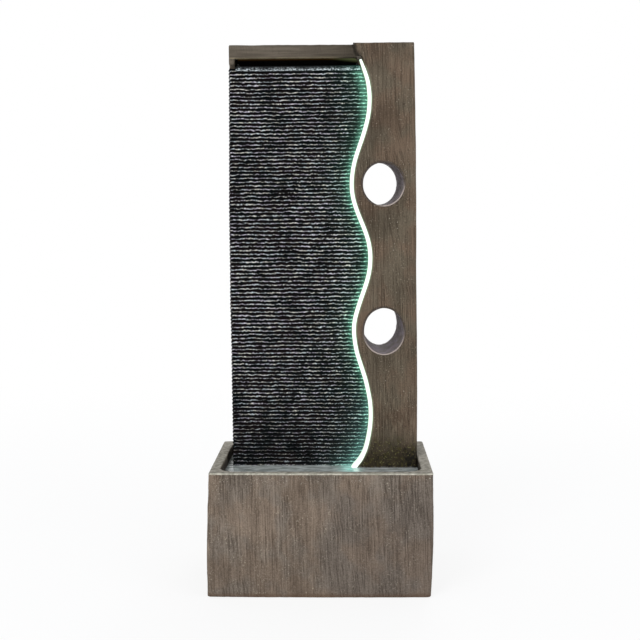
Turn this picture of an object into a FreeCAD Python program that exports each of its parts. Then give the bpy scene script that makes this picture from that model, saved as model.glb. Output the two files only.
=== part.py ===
import FreeCAD
import Part
import math
import os
import re

# A floor-standing water-wall fountain: an open cast-resin basin, a hollow tower that stands in it
# with a ridged water wall, a raised column pierced by two round windows, and a wavy light strip
# between the two. A submersible pump in the tower's foot feeds a trough behind the header.
# Millimetres. X runs to the viewer's right, Y away from the viewer, Z up; the origin is on the
# ground under the middle of the basin.

os.makedirs("parts", exist_ok=True)
doc = FreeCAD.newDocument("WaterWall")

SIZES = [
    # Basin: outer size at the rim, wall, floor, and how far its cast sides swell and tuck in
    ("basin_width", 370.0),
    ("basin_depth", 250.0),
    ("basin_height", 206.0),
    ("basin_wall", 16.5),
    ("basin_floor", 16.0),
    ("basin_swell", 2.6),
    ("basin_tuck", 0.8),
    ("side_bow", 2.4),
    ("basin_corner", 5.0),
    ("basin_edge", 3.0),
    ("cavity_corner", 13.0),
    ("foot_radius", 13.0),
    ("foot_thick", 3.0),
    ("foot_proud", 1.0),
    ("foot_inset", 38.0),
    ("foot_gap", 0.3),
    ("drain_radius", 8.0),
    ("drain_rise", 13.0),
    ("drain_inset", 65.0),
    ("plug_head_radius", 13.0),
    ("plug_head_thick", 4.0),
    ("plug_recess", 7.0),
    ("plug_fit", 0.08),
    ("plug_head_gap", 1.0),
    ("plug_reach", 2.0),
    ("coin_slot_length", 12.0),
    ("coin_slot_width", 2.0),
    ("coin_slot_depth", 1.5),
    # Tower: outer size, where it stands in the basin, and its cast wall
    ("tower_side_room", 14.0),
    ("tower_depth", 108.0),
    ("tower_height", 927.0),
    ("tower_shift", 3.5),
    ("tower_rear_gap", 7.5),
    ("shell_wall", 6.0),
    ("column_step", 19.5),
    ("header_height", 24.0),
    ("slot_height", 16.6),
    ("cheek_width", 9.0),
    # Windows through the column: the front oval, and how the rear one is narrower, higher and shifted
    ("upper_window_width", 72.1),
    ("upper_window_height", 75.7),
    ("upper_window_level", 683.0),
    ("upper_window_inset", 55.5),
    ("lower_window_width", 70.9),
    ("lower_window_height", 81.4),
    ("lower_window_level", 427.8),
    ("lower_window_inset", 55.1),
    ("window_narrowing", 6.5),
    ("window_rear_shift", 5.0),
    ("window_rear_lift", 5.5),
    ("window_wall", 5.0),
    # The wavy line between water wall and column: its limits, from the tower's right side, and the
    # heights at which it turns. It turns left beside each window
    ("wave_upper_inset", 110.3),
    ("wave_lower_inset", 106.7),
    ("wave_right_inset", 78.2),
    ("wave_above_level", 960.0),
    ("wave_upper_level", 828.0),
    ("wave_middle_level", 553.0),
    ("wave_lower_level", 285.0),
    ("wave_below_level", 124.0),
    # Water wall facing
    ("ridge_pitch", 6.4),
    ("ridge_height", 3.0),
    ("facing_base", 5.0),
    ("facing_bottom", 45.0),
    ("facing_gap", 0.3),
    # Light strip: side-bending silicone sleeve with a tape of lamps inside
    ("strip_width", 7.5),
    ("strip_depth", 14.0),
    ("strip_recess", 3.0),
    ("strip_bottom", 144.0),
    ("strip_gap", 0.15),
    ("strip_cap", 6.0),
    ("sleeve_wall", 1.2),
    ("tape_thick", 0.4),
    ("tape_gap", 0.1),
    ("tape_side_gap", 0.3),
    ("chip_length", 3.5),
    ("chip_width", 2.8),
    ("chip_thick", 0.8),
    ("chip_pitch", 16.6),
    ("chip_end_gap", 6.0),
    ("rebate_drop", 28.0),
    # Back panel, its bosses and screws
    ("panel_thick", 5.0),
    ("panel_gap", 0.5),
    ("boss_radius", 5.0),
    ("boss_length", 20.0),
    ("boss_offset", 4.0),
    ("boss_low_level", 130.0),
    ("boss_high_level", 820.0),
    ("screw_radius", 1.5),
    ("screw_length", 15.0),
    ("screw_head_radius", 3.0),
    ("screw_head_thick", 2.0),
    ("screw_gap", 0.25),
    ("insert_radius", 2.5),
    ("insert_length", 8.0),
    ("thread_gap", 0.05),
    ("inlet_width", 30.0),
    ("inlet_height", 22.0),
    ("inlet_pitch", 50.0),
    ("inlet_first", 40.0),
    # Access door
    ("door_offset", 1.5),
    ("door_width", 100.0),
    ("door_bottom", 225.0),
    ("door_height", 150.0),
    ("door_gap", 1.0),
    ("hinge_reach", 3.5),
    ("hinge_stand", 4.5),
    ("knuckle_radius", 4.0),
    ("knuckle_length", 10.0),
    ("knuckle_gap", 0.3),
    ("knuckle_extra", 2.0),
    ("hinge_inset", 30.0),
    ("strap_length", 20.0),
    ("strap_thick", 3.0),
    ("pin_radius", 1.5),
    ("pin_gap", 0.05),
    ("pin_head_radius", 2.5),
    ("pin_head_thick", 1.5),
    ("magnet_radius", 4.0),
    ("magnet_thick", 3.5),
    ("magnet_inset", 7.0),
    ("magnet_gap", 0.3),
    ("strike_thick", 1.5),
    ("strike_height", 14.0),
    ("strike_gap", 3.0),
    ("strike_foot", 11.0),
    ("pull_width", 16.0),
    ("pull_height", 22.0),
    ("pull_depth", 2.5),
    ("pull_inset", 6.0),
    # Spill trough behind the header
    ("trough_inset", 99.0),
    ("trough_side_gap", 6.0),
    ("trough_front_gap", 7.5),
    ("trough_depth", 58.0),
    ("trough_drop", 42.0),
    ("trough_rise", 11.0),
    ("trough_wall", 2.5),
    ("lip_thick", 2.5),
    ("lip_reach", 1.0),
    ("ledge_depth", 13.5),
    ("ledge_thick", 6.0),
    ("spigot_length", 26.0),
    # Pump: how far the joint plane between motor and volute stands in from the tower's side wall, how
    # far the pump's middle stands in from the back panel, and the block's size
    ("pump_inset", 90.0),
    ("pump_setback", 39.0),
    ("pump_depth", 46.0),
    ("pump_height", 58.0),
    ("motor_length", 48.0),
    ("motor_skin", 4.0),
    ("motor_side_skin", 5.0),
    ("lead_boss_inset", 14.0),
    ("lead_boss_height", 8.0),
    ("lead_boss_wall", 3.0),
    ("lead_boss_taper", 1.5),
    ("volute_length", 16.0),
    ("cover_length", 24.0),
    ("cover_wall", 2.0),
    ("cover_gap", 0.3),
    ("axis_rise", 21.0),
    ("well_radius", 11.0),
    ("well_wall", 1.5),
    ("well_depth", 38.0),
    ("yoke_leg", 8.8),
    ("yoke_inset", 12.0),
    ("yoke_gap", 0.2),
    ("yoke_side_gap", 0.3),
    ("yoke_drop", 9.0),
    ("yoke_rise", 28.0),
    ("yoke_bar", 8.5),
    ("coil_wrap", 5.0),
    ("magnet_ring_radius", 10.4),
    ("magnet_ring_length", 26.0),
    ("shaft_radius", 1.5),
    ("shaft_gap", 0.05),
    ("bush_radius", 3.5),
    ("bush_length", 2.7),
    ("impeller_radius", 14.5),
    ("impeller_blades", 6.0),
    ("blade_thick", 1.5),
    ("blade_width", 6.5),
    ("hub_radius", 4.5),
    ("chamber_radius", 17.0),
    ("chamber_depth", 12.0),
    ("intake_radius", 3.0),
    ("intake_circle", 9.0),
    ("nozzle_radius", 6.4),
    ("nozzle_bore", 4.5),
    ("nozzle_length", 27.0),
    ("nozzle_offset", 8.0),
    ("nozzle_setback", 8.0),
    ("seal_radius", 19.5),
    ("seal_thick", 2.0),
    ("seal_gap", 0.2),
    ("sponge_length", 12.0),
    ("sponge_inset", 5.0),
    ("slit_width", 2.4),
    ("slit_pitch", 5.2),
    ("slit_height", 18.0),
    ("slit_inset", 6.0),
    ("dial_radius", 9.0),
    ("dial_thick", 3.0),
    ("dial_port", 2.4),
    ("dial_port_offset", 5.4),
    ("dial_bar_height", 3.0),
    ("dial_bar_width", 2.4),
    ("dial_bar_inset", 1.5),
    ("spindle_radius", 2.0),
    ("spindle_gap", 0.06),
    ("snap_head_thick", 2.0),
    ("snap_head_proud", 1.0),
    ("cup_radius", 8.0),
    ("cup_height", 6.0),
    ("cup_inset", 6.0),
    ("cup_stub", 3.5),
    ("cup_wall", 1.5),
    ("cup_neck", 4.0),
    ("corner_screw_inset", 5.0),
    ("corner_screw_depth", 5.0),
    ("small_head_thick", 1.6),
    ("small_head_proud", 1.0),
    # Hose from pump to trough
    ("hose_radius", 8.0),
    ("hose_bore", 6.5),
    ("hose_overlap", 20.0),
    ("hose_lean", 2.0),
    ("hose_straight", 240.0),
    ("hose_top_gap", 1.0),
    ("clamp_width", 7.0),
    ("clamp_thick", 0.9),
    ("clamp_gap", 0.1),
    ("clamp_inset", 5.0),
    ("clamp_drop", 16.0),
    ("clamp_lug_width", 6.0),
    ("clamp_lug_reach", 5.0),
    # Junction box, leads and cord gland
    ("box_inset", 6.0),
    ("box_width", 54.0),
    ("box_bottom", 262.0),
    ("box_height", 50.0),
    ("box_depth", 26.0),
    ("box_wall", 2.0),
    ("lid_thick", 2.0),
    ("lid_screw_inset", 5.5),
    ("lid_screw_depth", 8.0),
    ("post_wall", 1.8),
    ("terminal_rise", 18.0),
    ("terminal_height", 12.0),
    ("terminal_side", 4.0),
    ("terminal_front", 3.0),
    ("terminal_well", 1.8),
    ("terminal_well_depth", 6.0),
    ("pump_lead_radius", 2.5),
    ("light_lead_radius", 2.0),
    ("lead_gap", 0.1),
    ("lead_hole_gap", 0.6),
    ("lead_setback", 6.0),
    ("pump_lead_rise", 55.0),
    ("pump_lead_drop", 65.0),
    ("light_lead_run", 35.0),
    ("light_lead_bend", 6.0),
    ("light_lead_climb", 45.0),
    ("clip_wall", 1.5),
    ("clip_width", 8.0),
    ("clip_first", 29.0),
    ("clip_pitch", 60.0),
    ("clip_drop", 14.0),
    ("pump_lead_side", 16.0),
    ("light_lead_side", 38.0),
    ("gland_side", 27.0),
    ("gland_drop", 27.0),
    ("cord_bore", 3.2),
    ("gland_radius", 6.0),
    ("gland_flange", 9.0),
    ("gland_flange_thick", 2.5),
    ("gland_inside", 6.0),
    ("gland_nose", 9.5),
    ("gland_taper", 1.4),
    ("nut_radius", 8.5),
    ("nut_thick", 4.0),
    ("lead_level", 200.0),
]

PLACES = [
    ("floor_top", "foot_proud + basin_floor"),
    ("cavity_x", "basin_width / 2 - basin_wall"),
    ("cavity_y", "basin_depth / 2 - basin_wall"),
    ("rear_face", "basin_depth / 2"),
    ("drain_side", "basin_width / 2 - drain_inset"),
    ("drain_level", "floor_top + drain_rise"),
    ("tower_width", "2 * cavity_x - tower_side_room"),
    ("tower_back", "cavity_y - tower_rear_gap"),
    ("tower_left", "tower_shift - tower_width / 2"),
    ("tower_right", "tower_shift + tower_width / 2"),
    ("column_face", "tower_back - tower_depth"),
    ("ridge_face", "column_face + column_step"),
    ("wall_front", "ridge_face + ridge_height + facing_base"),
    ("wall_back", "wall_front + shell_wall"),
    ("inside_left", "tower_left + shell_wall"),
    ("inside_right", "tower_right - shell_wall"),
    ("inside_top", "tower_height - shell_wall"),
    ("panel_front", "tower_back - panel_thick"),
    ("slot_top", "tower_height - header_height"),
    ("slot_bottom", "slot_top - slot_height"),
    ("upper_window_x", "tower_right - upper_window_inset"),
    ("lower_window_x", "tower_right - lower_window_inset"),
    ("strip_front", "column_face + strip_recess"),
    ("strip_back", "strip_front + strip_depth"),
    ("boss_left", "inside_left + boss_offset"),
    ("boss_right", "inside_right - boss_offset"),
    ("door_left", "tower_shift + door_offset - door_width / 2"),
    ("door_right", "door_left + door_width"),
    ("door_top", "door_bottom + door_height"),
    ("door_middle", "door_bottom + door_height / 2"),
    ("hinge_x", "door_right + hinge_reach"),
    ("hinge_y", "tower_back + hinge_stand"),
    ("trough_left", "inside_left + trough_side_gap"),
    ("trough_right", "tower_right - trough_inset"),
    ("trough_front", "wall_back + trough_front_gap"),
    ("trough_back", "trough_front + trough_depth"),
    ("trough_bottom", "slot_bottom - trough_drop"),
    ("pump_x", "inside_left + pump_inset"),
    ("pump_y", "tower_back - pump_setback"),
    ("pump_base", "floor_top + cup_height"),
    ("pump_top", "pump_base + pump_height"),
    ("pump_axis", "pump_base + axis_rise"),
    ("pump_near", "pump_y - pump_depth / 2"),
    ("pump_far", "pump_y + pump_depth / 2"),
    ("motor_end", "pump_x - motor_length"),
    ("volute_end", "pump_x + volute_length"),
    ("cover_start", "volute_end + cover_gap"),
    ("cover_end", "volute_end + cover_length"),
    ("chamber_end", "pump_x + chamber_depth"),
    ("well_end", "pump_x - well_depth"),
    ("ring_end", "well_end + bush_length + cover_gap"),
    ("ring_start", "ring_end + magnet_ring_length"),
    ("nozzle_x", "pump_x + nozzle_setback"),
    ("nozzle_y", "pump_y + nozzle_offset"),
    ("nozzle_top", "pump_top + nozzle_length"),
    ("hose_top_x", "pump_x + hose_lean"),
    ("lead_boss_x", "motor_end + lead_boss_inset"),
    ("box_left", "inside_left + box_inset"),
    ("box_front", "panel_front - box_depth"),
    ("box_right", "box_left + box_width"),
    ("box_top", "box_bottom + box_height"),
    ("box_y", "panel_front - box_depth / 2"),
    ("pump_lead_x", "box_left + pump_lead_side"),
    ("light_lead_x", "box_left + light_lead_side"),
    ("gland_x", "box_left + gland_side"),
    ("gland_z", "box_bottom - gland_drop"),
    ("lead_back", "panel_front - lead_setback"),
    ("terminal_bottom", "box_bottom + terminal_rise"),
    ("terminal_top", "terminal_bottom + terminal_height"),
]


def fill_sheet(name, rows):
    """A spreadsheet with one named value a row."""
    sheet = doc.addObject("Spreadsheet::Sheet", name)
    for row, (alias, text) in enumerate(rows, start=1):
        sheet.set(f"A{row}", alias)
        sheet.set(f"B{row}", str(text))
        sheet.setAlias(f"B{row}", alias)
    return sheet


SHEET_OF = {alias: "Size" for alias, _ in SIZES}
SHEET_OF.update({alias: "Place" for alias, _ in PLACES})


def named(text):
    """The text with each value's name led by its sheet, as an expression needs it."""
    return re.sub(r"[a-z]\w*", lambda m: f"{SHEET_OF[m[0]]}.{m[0]}" if m[0] in SHEET_OF else m[0], str(text))


size_sheet = fill_sheet("Size", SIZES)
place_sheet = fill_sheet("Place", [(alias, "=" + named(text)) for alias, text in PLACES])
doc.recompute()


def value(text):
    """The number that an expression on the named values gives."""
    return float(size_sheet.evalExpression(named(text)))


AXES = {
    "x": FreeCAD.Vector(1, 0, 0),
    "y": FreeCAD.Vector(0, 1, 0),
    "z": FreeCAD.Vector(0, 0, 1),
}
subparts = []


def keep(node, made):
    """Marks an object as the finished sub-part of that name."""
    made.Label = node
    subparts.append(made)
    return made


def box(name, x, y, z):
    """A block between a low and a high plane along each axis."""
    block = doc.addObject("Part::Box", name)
    for side, axis, (low, high) in (("Length", "x", x), ("Width", "y", y), ("Height", "z", z)):
        block.setExpression(side, named(f"({high}) - ({low})"))
        block.setExpression(f"Placement.Base.{axis}", named(low))
    return block


def rod(name, along, ends, centre, radius, tip=None):
    """A round bar between two planes along an axis, or a taper where it has a tip radius."""
    bar = doc.addObject("Part::Cone" if tip else "Part::Cylinder", name)
    turn = FreeCAD.Rotation(AXES["z"], AXES[along])
    bar.Placement = FreeCAD.Placement(FreeCAD.Vector(), turn)
    bar.setExpression("Height", named(f"({ends[1]}) - ({ends[0]})"))
    bar.setExpression("Radius1" if tip else "Radius", named(radius))
    if tip:
        bar.setExpression("Radius2", named(tip))
    places = dict(zip([a for a in "xyz" if a != along], centre))
    places[along] = ends[0]
    for axis, text in places.items():
        bar.setExpression(f"Placement.Base.{axis}", named(text))
    return bar


def fuse(name, *pieces):
    """One solid from several that meet."""
    made = doc.addObject("Part::MultiFuse", name)
    made.Shapes = list(pieces)
    return made


def cut(name, base, *tools):
    """The base without its tools."""
    made = doc.addObject("Part::Cut", name)
    made.Base = base
    made.Tool = tools[0] if len(tools) == 1 else group(f"{name}_tools", *tools)
    return made


def group(name, *pieces):
    """Several separate solids in one object."""
    made = doc.addObject("Part::Compound", name)
    made.Links = list(pieces)
    return made


def shaped(name, shape):
    """A feature whose shape is worked out here from the named values."""
    made = doc.addObject("Part::Feature", name)
    made.Shape = shape
    return made


def plane_of(body, role):
    """One of a body's own origin planes."""
    return next(o for o in body.Origin.OriginFeatures if o.Role == role)


def sketch_on(body, name, role, offset, wires):
    """A sketch of closed outlines on an origin plane, moved off it by an expression."""
    sketch = body.newObject("Sketcher::SketchObject", name)
    sketch.AttachmentSupport = (plane_of(body, role), [""])
    sketch.MapMode = "FlatFace"
    sketch.setExpression("AttachmentOffset.Base.z", named(offset))
    for wire in wires:
        for curve in wire:
            sketch.addGeometry(curve, False)
    return sketch


def wave_turns():
    """The places where the light's line turns back, from above the tower to under the water."""
    turns = (
        ("wave_above_level", "wave_upper_inset"),
        ("wave_upper_level", "wave_right_inset"),
        ("upper_window_level", "wave_upper_inset"),
        ("wave_middle_level", "wave_right_inset"),
        ("lower_window_level", "wave_lower_inset"),
        ("wave_lower_level", "wave_right_inset"),
        ("wave_below_level", "wave_lower_inset"),
    )
    return [(value(level), value(f"tower_right - {inset}")) for level, inset in turns]


def wave(level, offset):
    """x of the line at a height, moved square to the line by an offset: half a cosine per turn."""
    turns = wave_turns()
    upper, lower = next(
        (pair for pair in zip(turns, turns[1:]) if level >= pair[1][0]), (turns[-2], turns[-1])
    )
    drop = upper[0] - lower[0]
    angle = math.pi * min(1.0, (upper[0] - level) / drop)
    swing = (upper[1] - lower[1]) / 2
    slope = swing * math.pi / drop * math.sin(angle)
    return (upper[1] + lower[1]) / 2 + swing * math.cos(angle) + offset * math.hypot(1, slope)


def side_line(side, low, high):
    """An upright edge from low to high: straight at a number, or along the wave at an offset."""
    if not isinstance(side, tuple):
        return Part.makeLine(FreeCAD.Vector(side, 0, low), FreeCAD.Vector(side, 0, high))
    steps = max(6, round((high - low) / 16))
    levels = [low + (high - low) * step / steps for step in range(steps + 1)]
    curve = Part.BSplineCurve()
    curve.interpolate([FreeCAD.Vector(wave(level, side[0]), 0, level) for level in levels])
    return curve.toShape()


def wave_slab(name, left, right, levels, depths):
    """A slab whose left or right edge may follow the wave, given as (offset,)."""
    low, high = (value(level) for level in levels)
    front, back = (value(depth) for depth in depths)
    one = side_line(left, low, high)
    other = side_line(right, low, high)
    ends = [
        Part.makeLine(one.valueAt(one.FirstParameter), other.valueAt(other.FirstParameter)),
        Part.makeLine(one.valueAt(one.LastParameter), other.valueAt(other.LastParameter)),
    ]
    face = Part.Face(Part.Wire(Part.__sortEdges__([one, ends[1], other, ends[0]])))
    face.translate(FreeCAD.Vector(0, front, 0))
    return shaped(name, face.extrude(FreeCAD.Vector(0, back - front, 0)))


def rounded_path(points):
    """Straight runs joined by tangent arcs, each as large as its two runs allow."""
    corners = [FreeCAD.Vector(*point) for point in points]
    edges = []
    here = corners[0]
    for before, corner, after in zip(corners, corners[1:], corners[2:]):
        toward = (corner - before).normalize()
        away = (after - corner).normalize()
        turn = toward.getAngle(away)
        reach = 0.45 * min((corner - before).Length, (after - corner).Length)
        radius = reach / math.tan(turn / 2)
        start = corner - toward * reach
        end = corner + away * reach
        middle = corner + (away - toward).normalize() * (radius / math.cos(turn / 2) - radius)
        edges.append(Part.LineSegment(here, start).toShape())
        edges.append(Part.Arc(start, middle, end).toShape())
        print(f"bend radius {radius:.1f}")
        here = end
    edges.append(Part.LineSegment(here, corners[-1]).toShape())
    return Part.Wire(edges)


def tube(path, radius):
    """A round solid along a path."""
    first = path.Edges[0]
    start = first.valueAt(first.FirstParameter)
    circle = Part.makeCircle(radius, start, first.tangentAt(first.FirstParameter))
    solid = path.makePipeShell([Part.Wire([circle])], True, False)
    expected = math.pi * radius**2 * path.Length
    print(f"tube volume is {solid.Volume / expected:.4f} of section times length")
    return solid


def window_oval(place, grow, depth):
    """The oval of one window at a depth in the tower, made larger all round by a wall."""
    way = (depth - value("column_face")) / value("tower_depth")
    half_wide = (value(f"{place}_window_width") - way * value("window_narrowing")) / 2 + grow
    half_high = value(f"{place}_window_height") / 2 + grow
    centre_x = value(f"{place}_window_x") - way * value("window_rear_shift")
    level = value(f"{place}_window_level") + way * value("window_rear_lift")
    stretch = FreeCAD.Matrix(half_wide, 0, 0, centre_x, 0, 1, 0, depth, 0, 0, half_high, level, 0, 0, 0, 1)
    circle_edge = Part.makeCircle(1, FreeCAD.Vector(), AXES["y"])
    return Part.Wire([circle_edge.transformGeometry(stretch)])


def windows(prefix, grow, front, back):
    """Both window bars, ruled from an oval at the front plane to one at the back plane."""
    ends = (value(front), value(back))
    wall = value(grow)
    return [
        shaped(f"{prefix}_{place}", Part.makeLoft([window_oval(place, wall, end) for end in ends], True, True))
        for place in ("upper", "lower")
    ]


def basin_section(level, grow):
    """A rounded oblong at a height whose four sides bow out a little."""
    x = value("basin_width / 2 - side_bow / 2") + grow
    y = value("basin_depth / 2 - side_bow / 2") + grow
    bow = value("side_bow / 2")
    corners = [(-x, -y), (x, -y), (x, y), (-x, y)]
    middles = [(0, -y - bow), (x + bow, 0), (0, y + bow), (-x - bow, 0)]
    edges = []
    for index, middle in enumerate(middles):
        ends = corners[index], corners[(index + 1) % 4]
        points = [FreeCAD.Vector(*p, level) for p in (ends[0], middle, ends[1])]
        edges.append(Part.Arc(*points).toShape())
    return Part.Wire(edges)


def rounded_block(name, half_x, half_y, low, high, corner):
    """An upright block with rounded upright edges, centred on the Z axis."""
    x, y, radius = value(half_x), value(half_y), value(corner)
    block = Part.makeBox(2 * x, 2 * y, value(high) - value(low), FreeCAD.Vector(-x, -y, value(low)))
    upright = [e for e in block.Edges if abs(e.tangentAt(e.FirstParameter).z) > 0.9]
    return shaped(name, block.makeFillet(radius, upright))


def basin():
    """Open cast tub with swelling sides, a drain through its rear wall and four foot recesses."""
    low, high = value("foot_proud"), value("basin_height")
    loft = Part.makeLoft(
        [basin_section(low, -value("basin_tuck")), basin_section((low + high) / 2, value("basin_swell")),
         basin_section(high, 0)],
        True, False,
    )
    upright = [e for e in loft.Edges if e.BoundBox.ZLength > (high - low) / 2]
    loft = loft.makeFillet(value("basin_corner"), upright)
    under = [e for e in loft.Edges if e.BoundBox.ZMax < low + 0.01]
    outer = shaped("basin_outer", loft.makeFillet(value("basin_edge"), under))
    cavity = rounded_block("basin_cavity", "cavity_x", "cavity_y", "floor_top", "basin_height + 1",
                           "cavity_corner")
    place = ("drain_side", "drain_level")
    outside = "rear_face + 2 * side_bow"
    drain = rod("drain_hole", "y", ("cavity_y - 1", outside), place, "drain_radius")
    recess = rod("drain_recess", "y", ("rear_face - plug_recess", outside), place,
                 "plug_head_radius + plug_head_gap")
    feet = [rod("foot_recess", "z", ("0", "foot_thick"), centre, "foot_radius + foot_gap")
            for centre in foot_centres()]
    keep("basin", cut("basin_body", outer, cavity, drain, recess, *feet))


def foot_centres():
    """The four places of the feet, as expressions."""
    return [
        (f"{x} * (basin_width / 2 - foot_inset)", f"{y} * (basin_depth / 2 - foot_inset)")
        for x in (-1, 1)
        for y in (-1, 1)
    ]


def basin_feet():
    """Four rubber pads let into the underside."""
    pads = [rod("foot_pad", "z", ("0", "foot_thick"), centre, "foot_radius") for centre in foot_centres()]
    keep("basin_feet", group("feet", *pads))


def drain_plug():
    """A turned rubber bung: a stem in the wall and a head in its recess, with a coin slot."""
    body = doc.addObject("PartDesign::Body", "plug_body")
    stem = value("drain_radius - plug_fit")
    head = value("plug_head_radius")
    seat = value("rear_face - plug_recess")
    inner = value("cavity_y - plug_reach")
    outer = seat + value("plug_head_thick")
    outline = [(0, inner), (stem - 1, inner), (stem, inner + 1), (stem, seat), (head, seat), (head, outer - 1),
               (head - 1, outer), (0, outer)]
    corners = [FreeCAD.Vector(x, y, 0) for x, y in outline]
    lines = [Part.LineSegment(a, b) for a, b in zip(corners, corners[1:] + corners[:1])]
    sketch = sketch_on(body, "plug_outline", "XY_Plane", "0", [lines])
    turned = body.newObject("PartDesign::Revolution", "plug_turned")
    turned.Profile = sketch
    turned.ReferenceAxis = (sketch, ["V_Axis"])
    turned.Angle = 360
    half_long, half_wide = value("coin_slot_length / 2"), value("coin_slot_width / 2")
    outline = rectangle(-half_long, half_long, -half_wide, half_wide)
    slot = sketch_on(body, "plug_slot", "XZ_Plane", f"-({outer})", [outline])
    cutter = body.newObject("PartDesign::Pocket", "plug_coin_slot")
    cutter.Profile = slot
    cutter.setExpression("Length", named("coin_slot_depth"))
    cutter.Reversed = False
    body.Tip = cutter
    body.setExpression("Placement.Base.x", named("drain_side"))
    body.setExpression("Placement.Base.z", named("drain_level"))
    keep("drain_plug", body)


def rectangle(left, right, low, high):
    """The four lines of an oblong in a sketch."""
    corners = [FreeCAD.Vector(*p, 0) for p in ((left, low), (right, low), (right, high), (left, high))]
    return [Part.LineSegment(a, b) for a, b in zip(corners, corners[1:] + corners[:1])]


def boss_places():
    """x and z of the panel's screws: four levels up each side."""
    return [
        (side, f"boss_low_level + {step} * (boss_high_level - boss_low_level) / 3")
        for side in ("boss_left", "boss_right")
        for step in range(4)
    ]


def tower_shell():
    """One hollow casting, open at the back and below: walls, header, column and window tubes."""
    left, right = value("tower_left"), value("tower_right")
    half = value("strip_width / 2")
    tall = ("floor_top", "tower_height")
    block = box("tower_block", ("tower_left", "tower_right"), ("wall_front", "tower_back"), tall)
    inside = box("tower_inside", ("inside_left", "inside_right"), ("wall_back", "tower_back + 1"),
                 ("floor_top - 1", "inside_top"))
    slot = box("water_slot", ("tower_left + cheek_width", "inside_right"), ("wall_front - 1", "wall_back + 1"),
               ("slot_bottom", "slot_top"))
    inlets = [
        box("water_inlet", (f"inside_left + inlet_first + {step} * inlet_pitch",
                            f"inside_left + inlet_first + inlet_width + {step} * inlet_pitch"),
            ("wall_front - 1", "wall_back + 1"), ("floor_top - 1", "floor_top + inlet_height"))
        for step in range(3)
    ]
    walls = cut("tower_walls", block, inside, slot, *inlets)
    column = wave_slab("column_block", (-half,), right, tall, ("column_face", "wall_back"))
    header = wave_slab("header_block", left, (0,), ("slot_top", "tower_height"), ("ridge_face", "wall_back"))
    cheek = box("header_cheek", ("tower_left", "tower_left + cheek_width"), ("ridge_face", "wall_back"),
                ("slot_bottom + 2 * lip_thick", "tower_height"))
    tubes = windows("window_tube", "window_wall", "column_face", "tower_back")
    bosses = [rod("panel_boss", "y", ("panel_front - boss_length", "panel_front"), place, "boss_radius")
              for place in boss_places()]
    ledge = box("trough_ledge", ("inside_left - 1", "trough_right"),
                ("wall_back - 1", "wall_back + ledge_depth"), ("trough_bottom - ledge_thick", "trough_bottom"))
    solid = fuse("tower_solid", walls, column, header, cheek)
    hollow = wave_slab("column_inside", (half + value("shell_wall"),), value("inside_right"),
                       ("floor_top - 1", "inside_top"), ("column_face + shell_wall", "wall_back + 1"))
    emptied = cut("tower_emptied", solid, hollow)
    fitted = fuse("tower_fitted", emptied, ledge, *tubes, *bosses)
    rebate = wave_slab("strip_rebate", (-half - 1,), (half + value("strip_gap"),),
                       ("strip_bottom - rebate_drop", "slot_top"), ("column_face - 1", "strip_back"))
    lead_x = wave(value("strip_bottom"), 0)
    lead_hole = rod("lead_hole", "y", ("strip_back - 1", "wall_back + 1"),
                    (str(lead_x), "strip_bottom - strip_gap - rebate_drop / 2"),
                    "light_lead_radius + lead_hole_gap")
    bores = windows("window_bore", "0", "column_face - 1", "tower_back + 1")
    screw_holes = [rod("insert_hole", "y", ("panel_front - screw_length", "panel_front + 1"), place,
                       "insert_radius + thread_gap") for place in boss_places()]
    keep("tower_shell", cut("tower_cast", fitted, rebate, lead_hole, *bores, *screw_holes))


def ripple_wall():
    """The ridged facing that the water runs down: one rounded ridge per pitch, from one profile."""
    root, crest = value("ridge_face + ridge_height"), value("ridge_face")
    back, low, high = value("wall_front"), value("facing_bottom"), value("slot_bottom")
    count = round((high - low) / value("ridge_pitch"))
    pitch = (high - low) / count
    left = value("tower_left")
    edges = []
    for ridge in range(count):
        bottom = low + ridge * pitch
        points = [FreeCAD.Vector(left, y, bottom + rise * pitch)
                  for y, rise in ((root, 0), (crest, 0.5), (root, 1))]
        edges.append(Part.Arc(*points).toShape())
    outline = [(root, high), (back, high), (back, low), (root, low)]
    corners = [FreeCAD.Vector(left, y, z) for y, z in outline]
    edges += [Part.makeLine(a, b) for a, b in zip(corners, corners[1:])]
    profile = Part.Face(Part.Wire(edges))
    ridged = shaped("ridged_slab", profile.extrude(FreeCAD.Vector(value("tower_width"), 0, 0)))
    outline = wave_slab("facing_outline", left - 1, (-value("strip_width / 2 + facing_gap"),),
                        ("facing_bottom - 1", "slot_bottom + 1"), ("ridge_face - 1", "wall_front + 1"))
    made = doc.addObject("Part::Common", "facing")
    made.Base = ridged
    made.Tool = outline
    keep("ripple_wall", made)


def light_strip():
    """The sleeve, its lamp tape, the lamps along the tape and the two end caps."""
    half = value("strip_width / 2")
    wall = value("sleeve_wall")
    depths = ("strip_front", "strip_back")
    inner_depths = ("strip_front + 2 * sleeve_wall", "strip_back - sleeve_wall")
    body_levels = ("strip_bottom + strip_cap", "slot_top - strip_gap - strip_cap")
    skin = wave_slab("sleeve_skin", (-half,), (half,), body_levels, depths)
    room = wave_slab("sleeve_room", (wall - half,), (half - wall,), body_levels, inner_depths)
    keep("light_sleeve", cut("sleeve", skin, room))
    low_levels = ("strip_bottom", "strip_bottom + strip_cap")
    high_levels = ("slot_top - strip_gap - strip_cap", "slot_top - strip_gap")
    lower = wave_slab("cap_low", (-half,), (half,), low_levels, depths)
    upper = wave_slab("cap_high", (-half,), (half,), high_levels, depths)
    keep("light_caps", group("caps", lower, upper))
    tape_face = half - wall - value("tape_thick + tape_gap")
    keep("light_tape", wave_slab("tape", (tape_face,), (tape_face + value("tape_thick"),), body_levels,
                                 ("strip_front + 2 * sleeve_wall + tape_side_gap",
                                  "strip_back - sleeve_wall - tape_side_gap")))
    keep("light_chips", shaped("chips", Part.makeCompound(chip_solids(tape_face))))


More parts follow.
